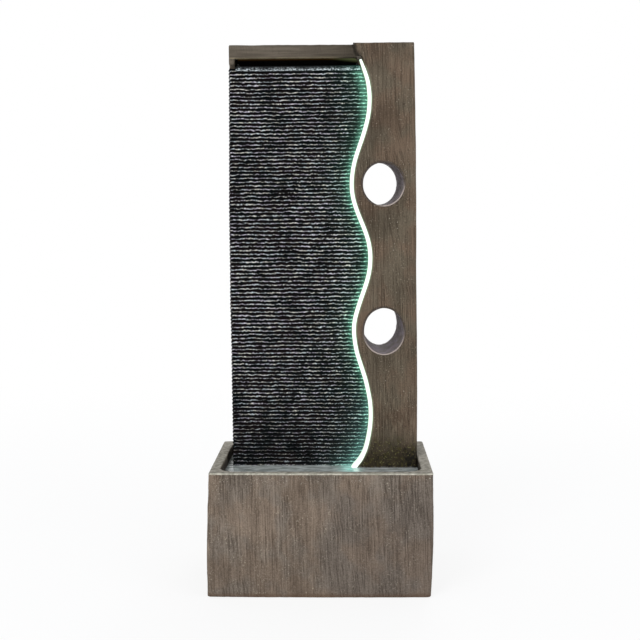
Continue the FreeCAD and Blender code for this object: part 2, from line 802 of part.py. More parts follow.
def chip_solids(tape_face):
    """The lamps, evenly spaced and turned to lie along the tape."""
    length, width, thick = value("chip_length"), value("chip_width"), value("chip_thick")
    low = value("strip_bottom + strip_cap + chip_end_gap")
    high = value("slot_top - strip_cap - chip_end_gap")
    count = int((high - low) / value("chip_pitch"))
    middle_y = (value("strip_front + 2 * sleeve_wall") + value("strip_back - sleeve_wall")) / 2
    solids = []
    for chip in range(count + 1):
        level = low + chip * value("chip_pitch")
        lean = math.atan(wave(level + 0.5, 0) - wave(level - 0.5, 0))
        solid = Part.makeBox(thick, width, length, FreeCAD.Vector(-thick, -width / 2, -length / 2))
        solid.rotate(FreeCAD.Vector(), AXES["y"], math.degrees(lean))
        solid.translate(FreeCAD.Vector(wave(level, tape_face - value("tape_gap")), middle_y, level))
        solids.append(solid)
    return solids


def back_panel():
    """Flat rear cover with holes for the windows, door, gland and screws, and hinge knuckles."""
    plate = box("panel_plate", ("inside_left + panel_gap", "inside_right - panel_gap"),
                ("panel_front", "tower_back"), ("floor_top + panel_gap", "inside_top - panel_gap"))
    knuckles = [piece for level in hinge_levels() for piece in panel_knuckles(level)]
    doorway = box("doorway", ("door_left", "door_right"), ("panel_front - 1", "tower_back + 1"),
                  ("door_bottom", "door_top"))
    openings = windows("panel_window", "window_wall + panel_gap", "panel_front - 1", "tower_back + 1")
    gland = rod("gland_hole", "y", ("panel_front - 1", "tower_back + 1"), ("gland_x", "gland_z"),
                "gland_radius + 0.2")
    screws = [rod("panel_screw_hole", "y", ("panel_front - 1", "tower_back + 1"), place,
                  "screw_radius + screw_gap") for place in boss_places()]
    pins = [rod("panel_pin_hole", "z", (f"{level} - 2 * knuckle_length", f"{level} + 2 * knuckle_length"),
                ("hinge_x", "hinge_y"), "pin_radius + pin_gap") for level in hinge_levels()]
    keep("back_panel", cut("panel", fuse("panel_solid", plate, *knuckles), doorway, gland, *openings,
                           *screws, *pins))


def hinge_levels():
    """Heights of the two hinges."""
    return ["(door_bottom + hinge_inset)", "(door_top - hinge_inset)"]


def panel_knuckles(level):
    """The fixed knuckles above and below the door's own, each on a small foot."""
    made = []
    for side in (-1, 1):
        near = f"{level} + {side} * (knuckle_length / 2 + knuckle_gap)"
        far = f"{near} + {side} * (knuckle_length / 2 + knuckle_extra)"
        ends = (near, far) if side > 0 else (far, near)
        made.append(rod("panel_knuckle", "z", ends, ("hinge_x", "hinge_y"), "knuckle_radius"))
        made.append(box("knuckle_foot", ("hinge_x - 1", "hinge_x + knuckle_radius + knuckle_extra"),
                        ("tower_back - 1", "hinge_y"), ends))
    return made


def access_door():
    """The service door: plate, two straps with knuckles, and a shallow finger pull."""
    plate = box("door_plate", ("door_left + door_gap", "door_right - door_gap"), ("panel_front", "tower_back"),
                ("door_bottom + door_gap", "door_top - door_gap"))
    straps = []
    holes = []
    for level in hinge_levels():
        ends = (f"{level} - knuckle_length / 2", f"{level} + knuckle_length / 2")
        straps.append(box("door_strap", ("door_right - strap_length", "hinge_x"),
                          ("tower_back", "tower_back + strap_thick"), ends))
        straps.append(rod("door_knuckle", "z", ends, ("hinge_x", "hinge_y"), "knuckle_radius"))
        holes.append(rod("door_pin_hole", "z", (f"{ends[0]} - 1", f"{ends[1]} + 1"), ("hinge_x", "hinge_y"),
                         "pin_radius + pin_gap"))
    pull = box("finger_pull", ("door_left + pull_inset", "door_left + pull_inset + pull_width"),
               ("tower_back - pull_depth", "tower_back + 1"),
               ("door_middle - pull_height / 2", "door_middle + pull_height / 2"))
    keep("access_door", cut("door", fuse("door_solid", plate, *straps), pull, *holes))


def hinge_pins():
    """Two headed pins that drop through the knuckles."""
    pins = []
    for level in hinge_levels():
        half = "(knuckle_length + knuckle_gap + knuckle_extra)"
        top = f"{level} + {half}"
        pins.append(rod("pin_shank", "z", (f"{level} - {half}", top),
                        ("hinge_x", "hinge_y"), "pin_radius"))
        pins.append(rod("pin_head", "z", (top, f"{top} + pin_head_thick"), ("hinge_x", "hinge_y"),
                        "pin_head_radius"))
    keep("hinge_pins", group("pins", fuse("pin_one", *pins[:2]), fuse("pin_two", *pins[2:])))


def door_catch():
    """A disc magnet on the door and the steel strike that it meets inside the panel."""
    centre = ("door_left + magnet_inset", "door_middle")
    depths = ("panel_front - magnet_thick", "panel_front")
    keep("door_magnet", rod("magnet", "y", depths, centre, "magnet_radius"))
    high = ("door_middle - strike_height / 2", "door_middle + strike_height / 2")
    face = "panel_front - magnet_thick - magnet_gap"
    near = "door_left - strike_gap"
    foot = box("strike_base", (f"{near} - strike_foot", near), ("panel_front - strike_thick", "panel_front"),
               high)
    riser = box("strike_riser", (f"{near} - strike_thick", near), (f"{face} - strike_thick", "panel_front"),
                high)
    plate = box("strike_plate", (f"{near} - strike_thick", "door_left + magnet_inset + magnet_radius"),
                (f"{face} - strike_thick", face), high)
    keep("door_strike", fuse("strike", foot, riser, plate))


def panel_fasteners():
    """Brass inserts in the bosses and the pan-head screws that hold the back panel."""
    inserts = []
    screws = []
    for place in boss_places():
        sleeve = rod("insert_outer", "y", ("panel_front - insert_length", "panel_front"), place,
                     "insert_radius")
        bore = rod("insert_bore", "y", ("panel_front - insert_length - 1", "panel_front + 1"), place,
                   "screw_radius + thread_gap")
        inserts.append(cut("insert", sleeve, bore))
        shank = rod("screw_shank", "y", ("tower_back - screw_length", "tower_back"), place, "screw_radius")
        head = rod("screw_head", "y", ("tower_back", "tower_back + screw_head_thick"), place,
                   "screw_head_radius", "screw_head_radius - screw_head_thick / 2")
        screws.append(fuse("panel_screw", shank, head))
    keep("threaded_inserts", group("inserts", *inserts))
    keep("panel_screws", group("screws", *screws))


def spill_trough():
    """The trough that wells up and spills over its front lip on to the water wall."""
    span = ("trough_left", "trough_right")
    deep = ("trough_front", "trough_back")
    tub = box("trough_block", span, deep, ("trough_bottom", "slot_bottom + trough_rise"))
    room = box("trough_room", ("trough_left + trough_wall", "trough_right - trough_wall"),
               ("trough_front + trough_wall", "trough_back - trough_wall"),
               ("trough_bottom + trough_wall", "slot_bottom + trough_rise + 1"))
    front = box("trough_front_cut", ("trough_left - 1", "trough_right + 1"),
                ("trough_front - 1", "trough_front + trough_wall"),
                ("slot_bottom", "slot_bottom + trough_rise + 1"))
    lip = box("trough_lip", span, ("ridge_face + lip_reach", "trough_front + trough_wall"),
              ("slot_bottom", "slot_bottom + lip_thick"))
    spigot = rod("trough_spigot", "z", ("trough_bottom - spigot_length", "trough_bottom + trough_wall"),
                 ("hose_top_x", "pump_y"), "nozzle_radius")
    bore = rod("spigot_bore", "z", ("trough_bottom - spigot_length - 1", "trough_bottom + trough_wall + 1"),
               ("hose_top_x", "pump_y"), "nozzle_bore")
    open_tub = cut("trough_tub", tub, room, front)
    keep("spill_trough", cut("trough", fuse("trough_solid", open_tub, lip, spigot), bore))


def motor_block():
    """Potted motor housing: a block round a rotor well, with stator room, seal groove and lead boss."""
    y, z = "pump_y", "pump_axis"
    block = box("motor_outer", ("motor_end", "pump_x"), ("pump_near", "pump_far"), ("pump_base", "pump_top"))
    lead_boss = rod("lead_boss", "z", ("pump_top", "pump_top + lead_boss_height"), ("lead_boss_x", y),
                    "pump_lead_radius + lead_boss_wall", "pump_lead_radius + lead_boss_wall - lead_boss_taper")
    room = box("stator_room", ("motor_end + motor_skin", "pump_x - motor_skin"),
               ("pump_near + motor_side_skin", "pump_far - motor_side_skin"),
               ("pump_base + motor_skin", "pump_top - motor_skin"))
    well = rod("rotor_well", "x", ("well_end - 2", "pump_x"), (y, z), "well_radius + well_wall")
    bore = rod("well_bore", "x", ("well_end", "pump_x + 1"), (y, z), "well_radius")
    groove = rod("seal_groove", "x", ("pump_x - seal_thick - seal_gap", "pump_x + 1"), (y, z),
                 "seal_radius + seal_thick / 2 + seal_gap")
    core = rod("seal_core", "x", ("pump_x - seal_thick - 1", "pump_x + 2"), (y, z),
               "seal_radius - seal_thick / 2 - seal_gap")
    cups = [rod("cup_hole", "z", ("pump_base - 1", "pump_base + cup_stub"), place,
                "spindle_radius + spindle_gap")
            for place in cup_places()]
    screws = [rod("motor_screw_hole", "x", ("pump_x - corner_screw_depth - 1", "pump_x + 1"), place,
                  "screw_radius + thread_gap")
              for place in corner_places()]
    lead = rod("motor_lead_hole", "z", ("pump_top - motor_skin + 1", "pump_top + lead_boss_height + 1"),
               ("lead_boss_x", y), "pump_lead_radius + lead_gap")
    emptied = cut("motor_emptied", fuse("motor_raw", block, lead_boss), room)
    ring = cut("seal_ring_cut", groove, core)
    keep("motor_housing", cut("motor", fuse("motor_welled", emptied, well), bore, ring, lead, *cups, *screws))


def cup_places():
    """The four suction cups under the motor."""
    return [
        (x, y)
        for x in ("motor_end + cup_inset", "pump_x - cup_inset")
        for y in ("pump_near + cup_inset", "pump_far - cup_inset")
    ]


def corner_places():
    """The four screws that hold the volute to the motor."""
    return [
        (y, z)
        for y in ("pump_near + corner_screw_inset", "pump_far - corner_screw_inset")
        for z in ("pump_base + corner_screw_inset", "pump_top - corner_screw_inset")
    ]


def stator():
    """Laminated iron yoke round the rotor well, and the coil on its top bar."""
    y, z = "pump_y", "pump_axis"
    ends = ("motor_end + yoke_inset", "pump_x - yoke_inset")
    reach = "(pump_depth / 2 - motor_side_skin - yoke_side_gap)"
    tall = (f"{z} - yoke_drop", f"{z} + yoke_rise")
    bar_low = f"{z} + yoke_rise - yoke_bar"
    legs = [
        box("yoke_leg", ends, (f"{y} - {reach}", f"{y} - {reach} + yoke_leg"), tall),
        box("yoke_leg", ends, (f"{y} + {reach} - yoke_leg", f"{y} + {reach}"), tall),
    ]
    bar = box("yoke_bar", ends, (f"{y} - {reach}", f"{y} + {reach}"), (bar_low, tall[1]))
    clear = rod("yoke_clear", "x", ("motor_end", "pump_x"), (y, z), "well_radius + well_wall + yoke_gap")
    keep("stator_core", cut("yoke", fuse("yoke_solid", bar, *legs), clear))
    half = f"({reach} - yoke_leg - yoke_side_gap)"
    outer = box("coil_outer", (f"{ends[0]} - coil_wrap", f"{ends[1]} + coil_wrap"),
                (f"{y} - {half}", f"{y} + {half}"),
                (f"{bar_low} - coil_wrap", "pump_top - motor_skin - yoke_side_gap"))
    inner = box("coil_inner", (f"{ends[0]} - yoke_gap", f"{ends[1]} + yoke_gap"),
                (f"{y} - {half} - 1", f"{y} + {half} + 1"), (f"{bar_low} - yoke_gap", f"{tall[1]} + yoke_gap"))
    keep("stator_coil", cut("coil", outer, inner))


def rotor():
    """The ring magnet, the bladed impeller, the ceramic shaft and its two bushes."""
    y, z = "pump_y", "pump_axis"
    ring = rod("ring_outer", "x", ("ring_end", "ring_start"), (y, z), "magnet_ring_radius")
    ring_bore = rod("ring_bore", "x", ("ring_end - 1", "ring_start + 1"), (y, z), "shaft_radius + shaft_gap")
    keep("rotor_magnet", cut("ring_magnet", ring, ring_bore))
    keep("impeller", impeller_body())
    keep("impeller_shaft", rod("shaft", "x", ("well_end + 0.3", "chamber_end + bush_length - 0.3"), (y, z),
                               "shaft_radius"))
    rear = rod("bush_rear", "x", ("well_end", "well_end + bush_length"), (y, z), "bush_radius")
    front = rod("bush_front", "x", ("chamber_end", "chamber_end + bush_length"), (y, z), "bush_radius")
    bore = rod("bush_bore", "x", ("well_end - 1", "chamber_end + bush_length + 1"), (y, z),
               "shaft_radius + shaft_gap / 2")
    keep("shaft_bushes", cut("bushes", group("bush_pair", rear, front), bore))


def impeller_body():
    """Hub, back disc and one blade repeated round the shaft."""
    body = doc.addObject("PartDesign::Body", "impeller_body")
    hub_radius, tip, bore = value("hub_radius"), value("impeller_radius"), value("shaft_radius + shaft_gap")
    disc_end = value("chamber_end - 0.5 - blade_width")
    hub = sketch_on(body, "hub_outline", "YZ_Plane", "ring_start", [[circle(hub_radius)], [circle(bore)]])
    hub_pad = body.newObject("PartDesign::Pad", "hub_pad")
    hub_pad.Profile = hub
    hub_pad.setExpression("Length", named("chamber_end - 0.5 - ring_start"))
    disc = sketch_on(body, "disc_outline", "YZ_Plane", f"{disc_end} - 1.5", [[circle(tip)], [circle(bore)]])
    disc_pad = body.newObject("PartDesign::Pad", "disc_pad")
    disc_pad.Profile = disc
    disc_pad.Length = 1.5
    half = value("blade_thick / 2")
    outline = rectangle(-half, half, (hub_radius + bore) / 2, tip)
    blade = sketch_on(body, "blade_outline", "YZ_Plane", str(disc_end), [outline])
    blade_pad = body.newObject("PartDesign::Pad", "blade_pad")
    blade_pad.Profile = blade
    blade_pad.setExpression("Length", named("blade_width"))
    doc.recompute()
    ring = body.newObject("PartDesign::PolarPattern", "blade_ring")
    ring.Originals = [blade_pad]
    ring.Axis = (hub, ["N_Axis"])
    ring.Angle = 360
    ring.setExpression("Occurrences", named("impeller_blades"))
    body.Tip = ring
    body.setExpression("Placement.Base.y", named("pump_y"))
    body.setExpression("Placement.Base.z", named("pump_axis"))
    return body


def circle(radius):
    """A circle about a sketch's own origin."""
    return Part.Circle(FreeCAD.Vector(), AXES["z"], radius)


def pump_volute():
    """The impeller chamber with its outlet nozzle, ring of inlet holes and front bush seat."""
    y, z = "pump_y", "pump_axis"
    block = box("volute_outer", ("pump_x", "volute_end"), ("pump_near", "pump_far"), ("pump_base", "pump_top"))
    nozzle = rod("nozzle", "z", ("pump_top - 1", "nozzle_top"), ("nozzle_x", "nozzle_y"), "nozzle_radius")
    chamber = rod("chamber", "x", ("pump_x - 1", "chamber_end"), (y, z), "chamber_radius")
    seat = rod("bush_seat", "x", ("chamber_end - 1", "chamber_end + bush_length"), (y, z),
               "bush_radius + shaft_gap")
    bore = rod("nozzle_way", "z", (z, "nozzle_top + 1"), ("nozzle_x", "nozzle_y"), "nozzle_bore")
    inlets = []
    for step in range(6):
        angle = math.pi * step / 3
        place = (f"{y} + {math.cos(angle):.5f} * intake_circle",
                 f"{z} + {math.sin(angle):.5f} * intake_circle")
        inlets.append(rod("inlet_hole", "x", ("chamber_end - 1", "volute_end + 1"), place, "intake_radius"))
    screws = [rod("volute_screw_hole", "x", ("pump_x - 1", "volute_end + 1"), place,
                  "screw_radius + screw_gap")
              for place in corner_places()]
    solid = fuse("volute_solid", block, nozzle)
    keep("pump_volute", cut("volute", solid, chamber, seat, bore, *inlets, *screws))
    ring = doc.addObject("Part::Torus", "seal_ring")
    ring.setExpression("Radius1", named("seal_radius"))
    ring.setExpression("Radius2", named("seal_thick / 2"))
    ring.Placement = FreeCAD.Placement(FreeCAD.Vector(), FreeCAD.Rotation(AXES["z"], AXES["x"]))
    for axis, text in (("x", "pump_x - (seal_thick + seal_gap) / 2"), ("y", y), ("z", z)):
        ring.setExpression(f"Placement.Base.{axis}", named(text))
    keep("volute_seal", ring)
    keep("volute_screws", group("corner_screws", *[corner_screw(place) for place in corner_places()]))


def corner_screw(place):
    """One screw from the volute's face into the motor block."""
    shank = rod("corner_shank", "x", ("pump_x - corner_screw_depth", "volute_end"), place, "screw_radius")
    head = rod("corner_head", "x", ("volute_end", "volute_end + small_head_thick"), place,
               "screw_radius + small_head_proud")
    return fuse("corner_screw", shank, head)


def intake_cover():
    """The slotted cover that slides off the volute, with the sponge and the flow dial."""
    outer = box("cover_outer", ("cover_start", "cover_end"), ("pump_near", "pump_far"),
                ("pump_base", "pump_top"))
    room = box("cover_room", ("cover_start - 1", "cover_end - cover_wall"),
               ("pump_near + cover_wall", "pump_far - cover_wall"),
               ("pump_base + cover_wall", "pump_top - cover_wall"))
    slits = []
    for step in range(-3, 4):
        middle = f"pump_y + {step} * slit_pitch"
        slits.append(box("cover_slit", ("cover_end - cover_wall - 1", "cover_end + 1"),
                         (f"{middle} - slit_width / 2", f"{middle} + slit_width / 2"),
                         ("pump_top - slit_inset - slit_height", "pump_top - slit_inset")))
    spindle = rod("spindle_hole", "x", ("cover_end - cover_wall - 1", "cover_end + 1"),
                  ("pump_y", "pump_axis"), "spindle_radius + spindle_gap")
    port = rod("cover_port", "x", ("cover_end - cover_wall - 1", "cover_end + 1"),
               ("pump_y + dial_port_offset", "pump_axis"), "dial_port")
    keep("intake_cover", cut("cover", outer, room, spindle, port, *slits))
    sponge_end = "cover_end - cover_wall - sponge_inset"
    keep("filter_sponge", box("sponge", (f"{sponge_end} - sponge_length", sponge_end),
                              ("pump_near + cover_wall + cover_gap", "pump_far - cover_wall - cover_gap"),
                              ("pump_base + cover_wall + cover_gap", "pump_top - cover_wall - cover_gap")))
    keep("flow_dial", flow_dial())


def flow_dial():
    """A quarter-turn disc over the cover's port: plate, thumb bar, spindle and snap head."""
    y, z = "pump_y", "pump_axis"
    face = "cover_end + cover_gap"
    inside = "cover_end - cover_wall - cover_gap"
    plate = rod("dial_plate", "x", (face, f"{face} + dial_thick"), (y, z), "dial_radius")
    bar = box("dial_bar", (f"{face} + dial_thick / 2", f"{face} + dial_thick + dial_bar_height"),
              (f"{y} - dial_bar_width / 2", f"{y} + dial_bar_width / 2"),
              (f"{z} - dial_radius + dial_bar_inset", f"{z} + dial_radius - dial_bar_inset"))
    spindle = rod("dial_spindle", "x", (f"{inside} - snap_head_thick", f"{face} + dial_thick"), (y, z),
                  "spindle_radius")
    head = rod("dial_head", "x", (f"{inside} - snap_head_thick", inside), (y, z),
               "spindle_radius + snap_head_proud")
    port = rod("dial_hole", "x", ("cover_end", f"{face} + dial_thick + dial_bar_height + 1"),
               (f"{y} + dial_port_offset", z), "dial_port")
    return cut("dial", fuse("dial_solid", plate, bar, spindle, head), port)


def suction_cups():
    """Four rubber cups pressed up into the motor's underside."""
    cups = []
    for place in cup_places():
        skirt = rod("cup_skirt", "z", ("floor_top", "pump_base"), place, "cup_radius", "cup_neck")
        stub = rod("cup_stub", "z", ("pump_base - 1", "pump_base + cup_stub - seal_gap"), place,
                   "spindle_radius")
        hollow = rod("cup_hollow", "z", ("floor_top - 0.01", "floor_top + cup_height / 2"), place,
                     "cup_radius - cup_wall", "spindle_radius")
        cups.append(cut("cup", fuse("cup_solid", skirt, stub), hollow))
    keep("suction_cups", group("cups", *cups))


def riser_hose():
    """Clear hose from the pump's nozzle to the trough's spigot, and its two band clamps."""
    x, y, top_x, top_y = (value(v) for v in ("nozzle_x", "nozzle_y", "hose_top_x", "pump_y"))
    low, high = value("nozzle_top - hose_overlap"), value("trough_bottom - hose_top_gap")
    straight = value("hose_straight")
    points = [(x, y, low), (x, y, low + straight), (top_x, top_y, high - straight), (top_x, top_y, high)]
    path = rounded_path(points)
    outer = tube(path, value("hose_radius"))
    inner = tube(path, value("hose_bore"))
    keep("riser_hose", shaped("hose", outer.cut(inner)))
    clamps = []
    for place, low_end in ((("nozzle_x", "nozzle_y"), "nozzle_top - hose_overlap + clamp_inset"),
                           (("hose_top_x", "pump_y"), "trough_bottom - clamp_drop")):
        ends = (low_end, f"{low_end} + clamp_width")
        band = rod("clamp_band", "z", ends, place, "hose_radius + clamp_gap + clamp_thick")
        lug = box("clamp_lug", (f"{place[0]} - clamp_lug_width / 2", f"{place[0]} + clamp_lug_width / 2"),
                  (f"{place[1]} - hose_radius - clamp_lug_reach", f"{place[1]} - hose_radius"), ends)
        way = rod("clamp_way", "z", (f"{ends[0]} - 1", f"{ends[1]} + 1"), place, "hose_radius + clamp_gap")
        clamps.append(cut("clamp", fuse("clamp_solid", band, lug), way))
    keep("hose_clamps", group("clamps", *clamps))


def junction_box():
    """Sealed box on the panel where the leads meet: tray, lid, screws and terminal block."""
    span, tall = ("box_left", "box_right"), ("box_bottom", "box_top")
    tray = box("box_tray", span, ("box_front", "panel_front"), tall)
    room = box("box_room", ("box_left + box_wall", "box_right - box_wall"),
               ("box_front - 1", "panel_front - box_wall"), ("box_bottom + box_wall", "box_top - box_wall"))
    ways = [
        rod("lead_way", "z", ("box_bottom - 1", "box_bottom + box_wall + 1"), (x, "box_y"), radius)
        for x, radius in (("pump_lead_x", "pump_lead_radius + lead_gap"),
                          ("light_lead_x", "light_lead_radius + lead_gap"), ("gland_x", "cord_bore"))
    ]
    posts = [rod("lid_post", "y", ("box_front", "panel_front - 1"), place, "screw_radius + post_wall")
             for place in lid_places()]
    holes = [rod("lid_post_hole", "y", ("box_front - 1", "box_front + lid_screw_depth + 1"), place,
                 "screw_radius + thread_gap")
             for place in lid_places()]
    emptied = cut("junction_tray", tray, room, *ways)
    keep("junction_box", cut("junction", fuse("junction_solid", emptied, *posts), *holes))
    lid = box("lid_plate", span, ("box_front - lid_thick", "box_front"), tall)
    lid_holes = [rod("lid_hole", "y", ("box_front - lid_thick - 1", "box_front + 1"), place,
                     "screw_radius + screw_gap") for place in lid_places()]
    keep("junction_lid", cut("lid", lid, *lid_holes))
    screws = []
    for place in lid_places():
        shank = rod("lid_shank", "y", ("box_front - lid_thick", "box_front + lid_screw_depth"), place,
                    "screw_radius")
        head = rod("lid_head", "y", ("box_front - lid_thick - small_head_thick", "box_front - lid_thick"),
                   place, "screw_radius + small_head_proud")
        screws.append(fuse("lid_screw", shank, head))
    keep("junction_screws", group("lid_screws", *screws))
    block = box("terminal_base", ("pump_lead_x - terminal_side", "light_lead_x + terminal_side"),
                ("box_y - terminal_front", "panel_front - box_wall"), ("terminal_bottom", "terminal_top"))
    wells = [rod("terminal_way", "z", ("terminal_top - terminal_well_depth", "terminal_top + 1"),
                 (f"pump_lead_x + {step} * (light_lead_x - pump_lead_x) / 2", "box_y + 1"), "terminal_well")
             for step in range(3)]
    keep("terminal_block", cut("terminals", block, *wells))


def lid_places():
    """The two upper corners of the junction box."""
    return [(side, "box_top - lid_screw_inset")
            for side in ("box_left + lid_screw_inset", "box_right - lid_screw_inset")]


def leads():
    """The pump's and the light's leads, run along the inside of the tower to the junction box."""
    box_y, end = value("box_y"), value("terminal_bottom")
    x, y, top = value("lead_boss_x"), value("pump_y"), value("pump_top - motor_skin + 1")
    side = value("pump_lead_x")
    points = [(x, y, top), (x, y, top + value("pump_lead_rise")),
              (side, box_y, value("box_bottom - pump_lead_drop")), (side, box_y, end)]
    keep("pump_lead", shaped("pump_lead_run", tube(rounded_path(points), value("pump_lead_radius"))))
    start = value("strip_bottom")
    x = wave(start, 0)
    y = (value("strip_front") + value("strip_back")) / 2
    low = start - value("strip_gap + rebate_drop / 2")
    back, level = value("lead_back"), value("lead_level")
    side = value("light_lead_x")
    points = [(x, y, start), (x, y, low), (x, back, low), (x - value("light_lead_run"), back, level),
              (side + value("light_lead_bend"), back, level),
              (side, box_y, level + value("light_lead_climb")), (side, box_y, end)]
    keep("light_lead", shaped("light_lead_run", tube(rounded_path(points), value("light_lead_radius"))))


def lead_clips():
    """Saddles on the panel that hold the leads."""
    clips = []
    reach = "(light_lead_radius + clip_wall)"
    for step in range(2):
        near = f"light_lead_x + clip_first + {step} * clip_pitch"
        far = f"{near} + clip_width"
        saddle = box("clip_saddle", (near, far), (f"lead_back - {reach}", "panel_front"),
                     (f"lead_level - {reach}", f"lead_level + {reach}"))
        way = rod("clip_way", "x", (f"{near} - 1", f"{far} + 1"), ("lead_back", "lead_level"),
                  "light_lead_radius + lead_gap")
        clips.append(cut("clip", saddle, way))
    tall = ("box_bottom - clip_drop - clip_width", "box_bottom - clip_drop")
    reach = "(pump_lead_radius + clip_wall)"
    saddle = box("clip_post", (f"pump_lead_x - {reach}", f"pump_lead_x + {reach}"),
                 (f"box_y - {reach}", "panel_front"), tall)
    way = rod("clip_bore", "z", (f"{tall[0]} - 1", f"{tall[1]} + 1"), ("pump_lead_x", "box_y"),
              "pump_lead_radius + lead_gap")
    clips.append(cut("upright_clip", saddle, way))
    keep("lead_clips", group("clips", *clips))


def cord_gland():
    """The gland that the supply cord leaves by: barrel, flange, tapered nose and inside nut."""
    place = ("gland_x", "gland_z")
    seat = "tower_back + gland_flange_thick"
    tip = f"{seat} + gland_nose"
    barrel = rod("gland_barrel", "y", ("panel_front - gland_inside", "tower_back"), place, "gland_radius")
    flange = rod("gland_flange_disc", "y", ("tower_back", seat), place, "gland_flange")
    nose = rod("gland_nose_cone", "y", (seat, tip), place, "gland_radius", "gland_radius - gland_taper")
    way = rod("gland_way", "y", ("panel_front - gland_inside - 1", f"{tip} + 1"), place, "cord_bore")
    keep("cord_gland", cut("gland", fuse("gland_solid", barrel, flange, nose), way))
    nut = rod("nut_disc", "y", ("panel_front - nut_thick", "panel_front"), place, "nut_radius")
    thread = rod("nut_way", "y", ("panel_front - nut_thick - 1", "panel_front + 1"), place,
                 "gland_radius + thread_gap")
    keep("gland_nut", cut("nut", nut, thread))


for build in (basin, basin_feet, drain_plug, tower_shell, ripple_wall, light_strip, back_panel, access_door,
              hinge_pins, door_catch, panel_fasteners, spill_trough, motor_block, stator, rotor, pump_volute,
              intake_cover, suction_cups, riser_hose, junction_box, leads, lead_clips, cord_gland):
    build()
doc.recompute()

for made in doc.Objects:
    if "Invalid" in made.State or "Error" in made.State:
        raise RuntimeError(f"{made.Label} didn't build: {made.State}")
for made in subparts:
    if made.Shape.isNull() or not made.Shape.isValid() or not made.Shape.Solids:
        raise RuntimeError(f"{made.Label} has no sound solid")
for made in subparts:
    made.Shape.exportStep(f"parts/{made.Label}.step")
print(len(subparts), "sub-parts,", sum(len(made.Shape.Solids) for made in subparts), "solids")
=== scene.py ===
import itertools
import math

import bpy
import numpy as np
from mathutils import Matrix, Vector


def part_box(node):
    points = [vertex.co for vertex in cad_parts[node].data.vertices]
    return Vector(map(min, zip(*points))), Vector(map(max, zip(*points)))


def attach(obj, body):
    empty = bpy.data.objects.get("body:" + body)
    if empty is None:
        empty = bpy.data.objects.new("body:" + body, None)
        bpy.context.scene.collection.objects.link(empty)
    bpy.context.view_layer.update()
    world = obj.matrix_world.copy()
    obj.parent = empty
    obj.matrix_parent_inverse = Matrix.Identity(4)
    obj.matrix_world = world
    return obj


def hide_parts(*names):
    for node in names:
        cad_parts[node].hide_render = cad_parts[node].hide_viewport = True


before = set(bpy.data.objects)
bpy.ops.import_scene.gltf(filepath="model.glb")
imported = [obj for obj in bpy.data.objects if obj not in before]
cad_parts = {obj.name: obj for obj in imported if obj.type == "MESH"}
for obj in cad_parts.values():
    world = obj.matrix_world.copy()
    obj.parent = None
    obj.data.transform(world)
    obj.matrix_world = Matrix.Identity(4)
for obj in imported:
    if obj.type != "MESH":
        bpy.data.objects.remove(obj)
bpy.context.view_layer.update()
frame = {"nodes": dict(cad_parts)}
nodes = frame["nodes"]


# Camera
# It stands before the fountain, a little to its right and above the height of its middle, and looks
# slightly down, so that the right inner walls of both windows and the basin's rim show.
def placed(name, data):
    """Puts a camera, a lamp or a mesh into the scene."""
    made = bpy.data.objects.new(name, data)
    bpy.context.scene.collection.objects.link(made)
    return made


camera_place = (0.0409, -1.6904, 0.5979)
yaw, pitch, roll = (math.radians(angle) for angle in (1.426, 2.91, 0.313))
camera_data = bpy.data.cameras.new("camera")
camera_data.lens = 54.56
camera_data.sensor_width = 36
camera_data.shift_y = -0.058
camera_data.dof.use_dof = False
camera_right = Vector((math.cos(yaw), math.sin(yaw), 0))
camera_ahead = Vector((-math.sin(yaw) * math.cos(pitch), math.cos(yaw) * math.cos(pitch), -math.sin(pitch)))
camera_up = camera_right.cross(camera_ahead)
rolled_right = camera_right * math.cos(roll) - camera_up * math.sin(roll)
rolled_up = camera_right * math.sin(roll) + camera_up * math.cos(roll)
camera = placed("camera", camera_data)
turn = Matrix((rolled_right, rolled_up, -camera_ahead)).transposed().to_4x4()
camera.matrix_world = Matrix.Translation(camera_place) @ turn
bpy.context.scene.camera = camera


# Studio
# A white floor that keeps the soft shadow, white all round for the camera, for gloss and for glass,
# and three large soft lamps. The floor, the surroundings and every finish are made with these classes.
unlit = (0, 0, 0, 1)


class Value:
    """One output of a node. Sums, products and quotients of values add Math nodes to its tree."""

    def __init__(self, nodes, socket):
        self.nodes = nodes
        self.socket = socket

    def maths(self, operation, *terms):
        """One Math node over the terms."""
        return self.nodes.node("ShaderNodeMath", {"operation": operation}, dict(enumerate(terms)))

    def __add__(self, other):
        return self.maths("ADD", self, other)

    def __sub__(self, other):
        return self.maths("SUBTRACT", self, other)

    def __rsub__(self, other):
        return self.maths("SUBTRACT", other, self)

    def __mul__(self, other):
        return self.maths("MULTIPLY", self, other)

    def __truediv__(self, other):
        return self.maths("DIVIDE", self, other)

    def __abs__(self):
        return self.maths("ABSOLUTE", self)


def paint(red, green, blue):
    """A colour as a screen shows it, each part from 0 to 255, turned into the linear light a shader takes."""
    parts = np.array((red, green, blue)) / 255
    linear = np.where(parts <= 0.04045, parts / 12.92, ((parts + 0.055) / 1.055) ** 2.4)
    return (*linear.tolist(), 1)


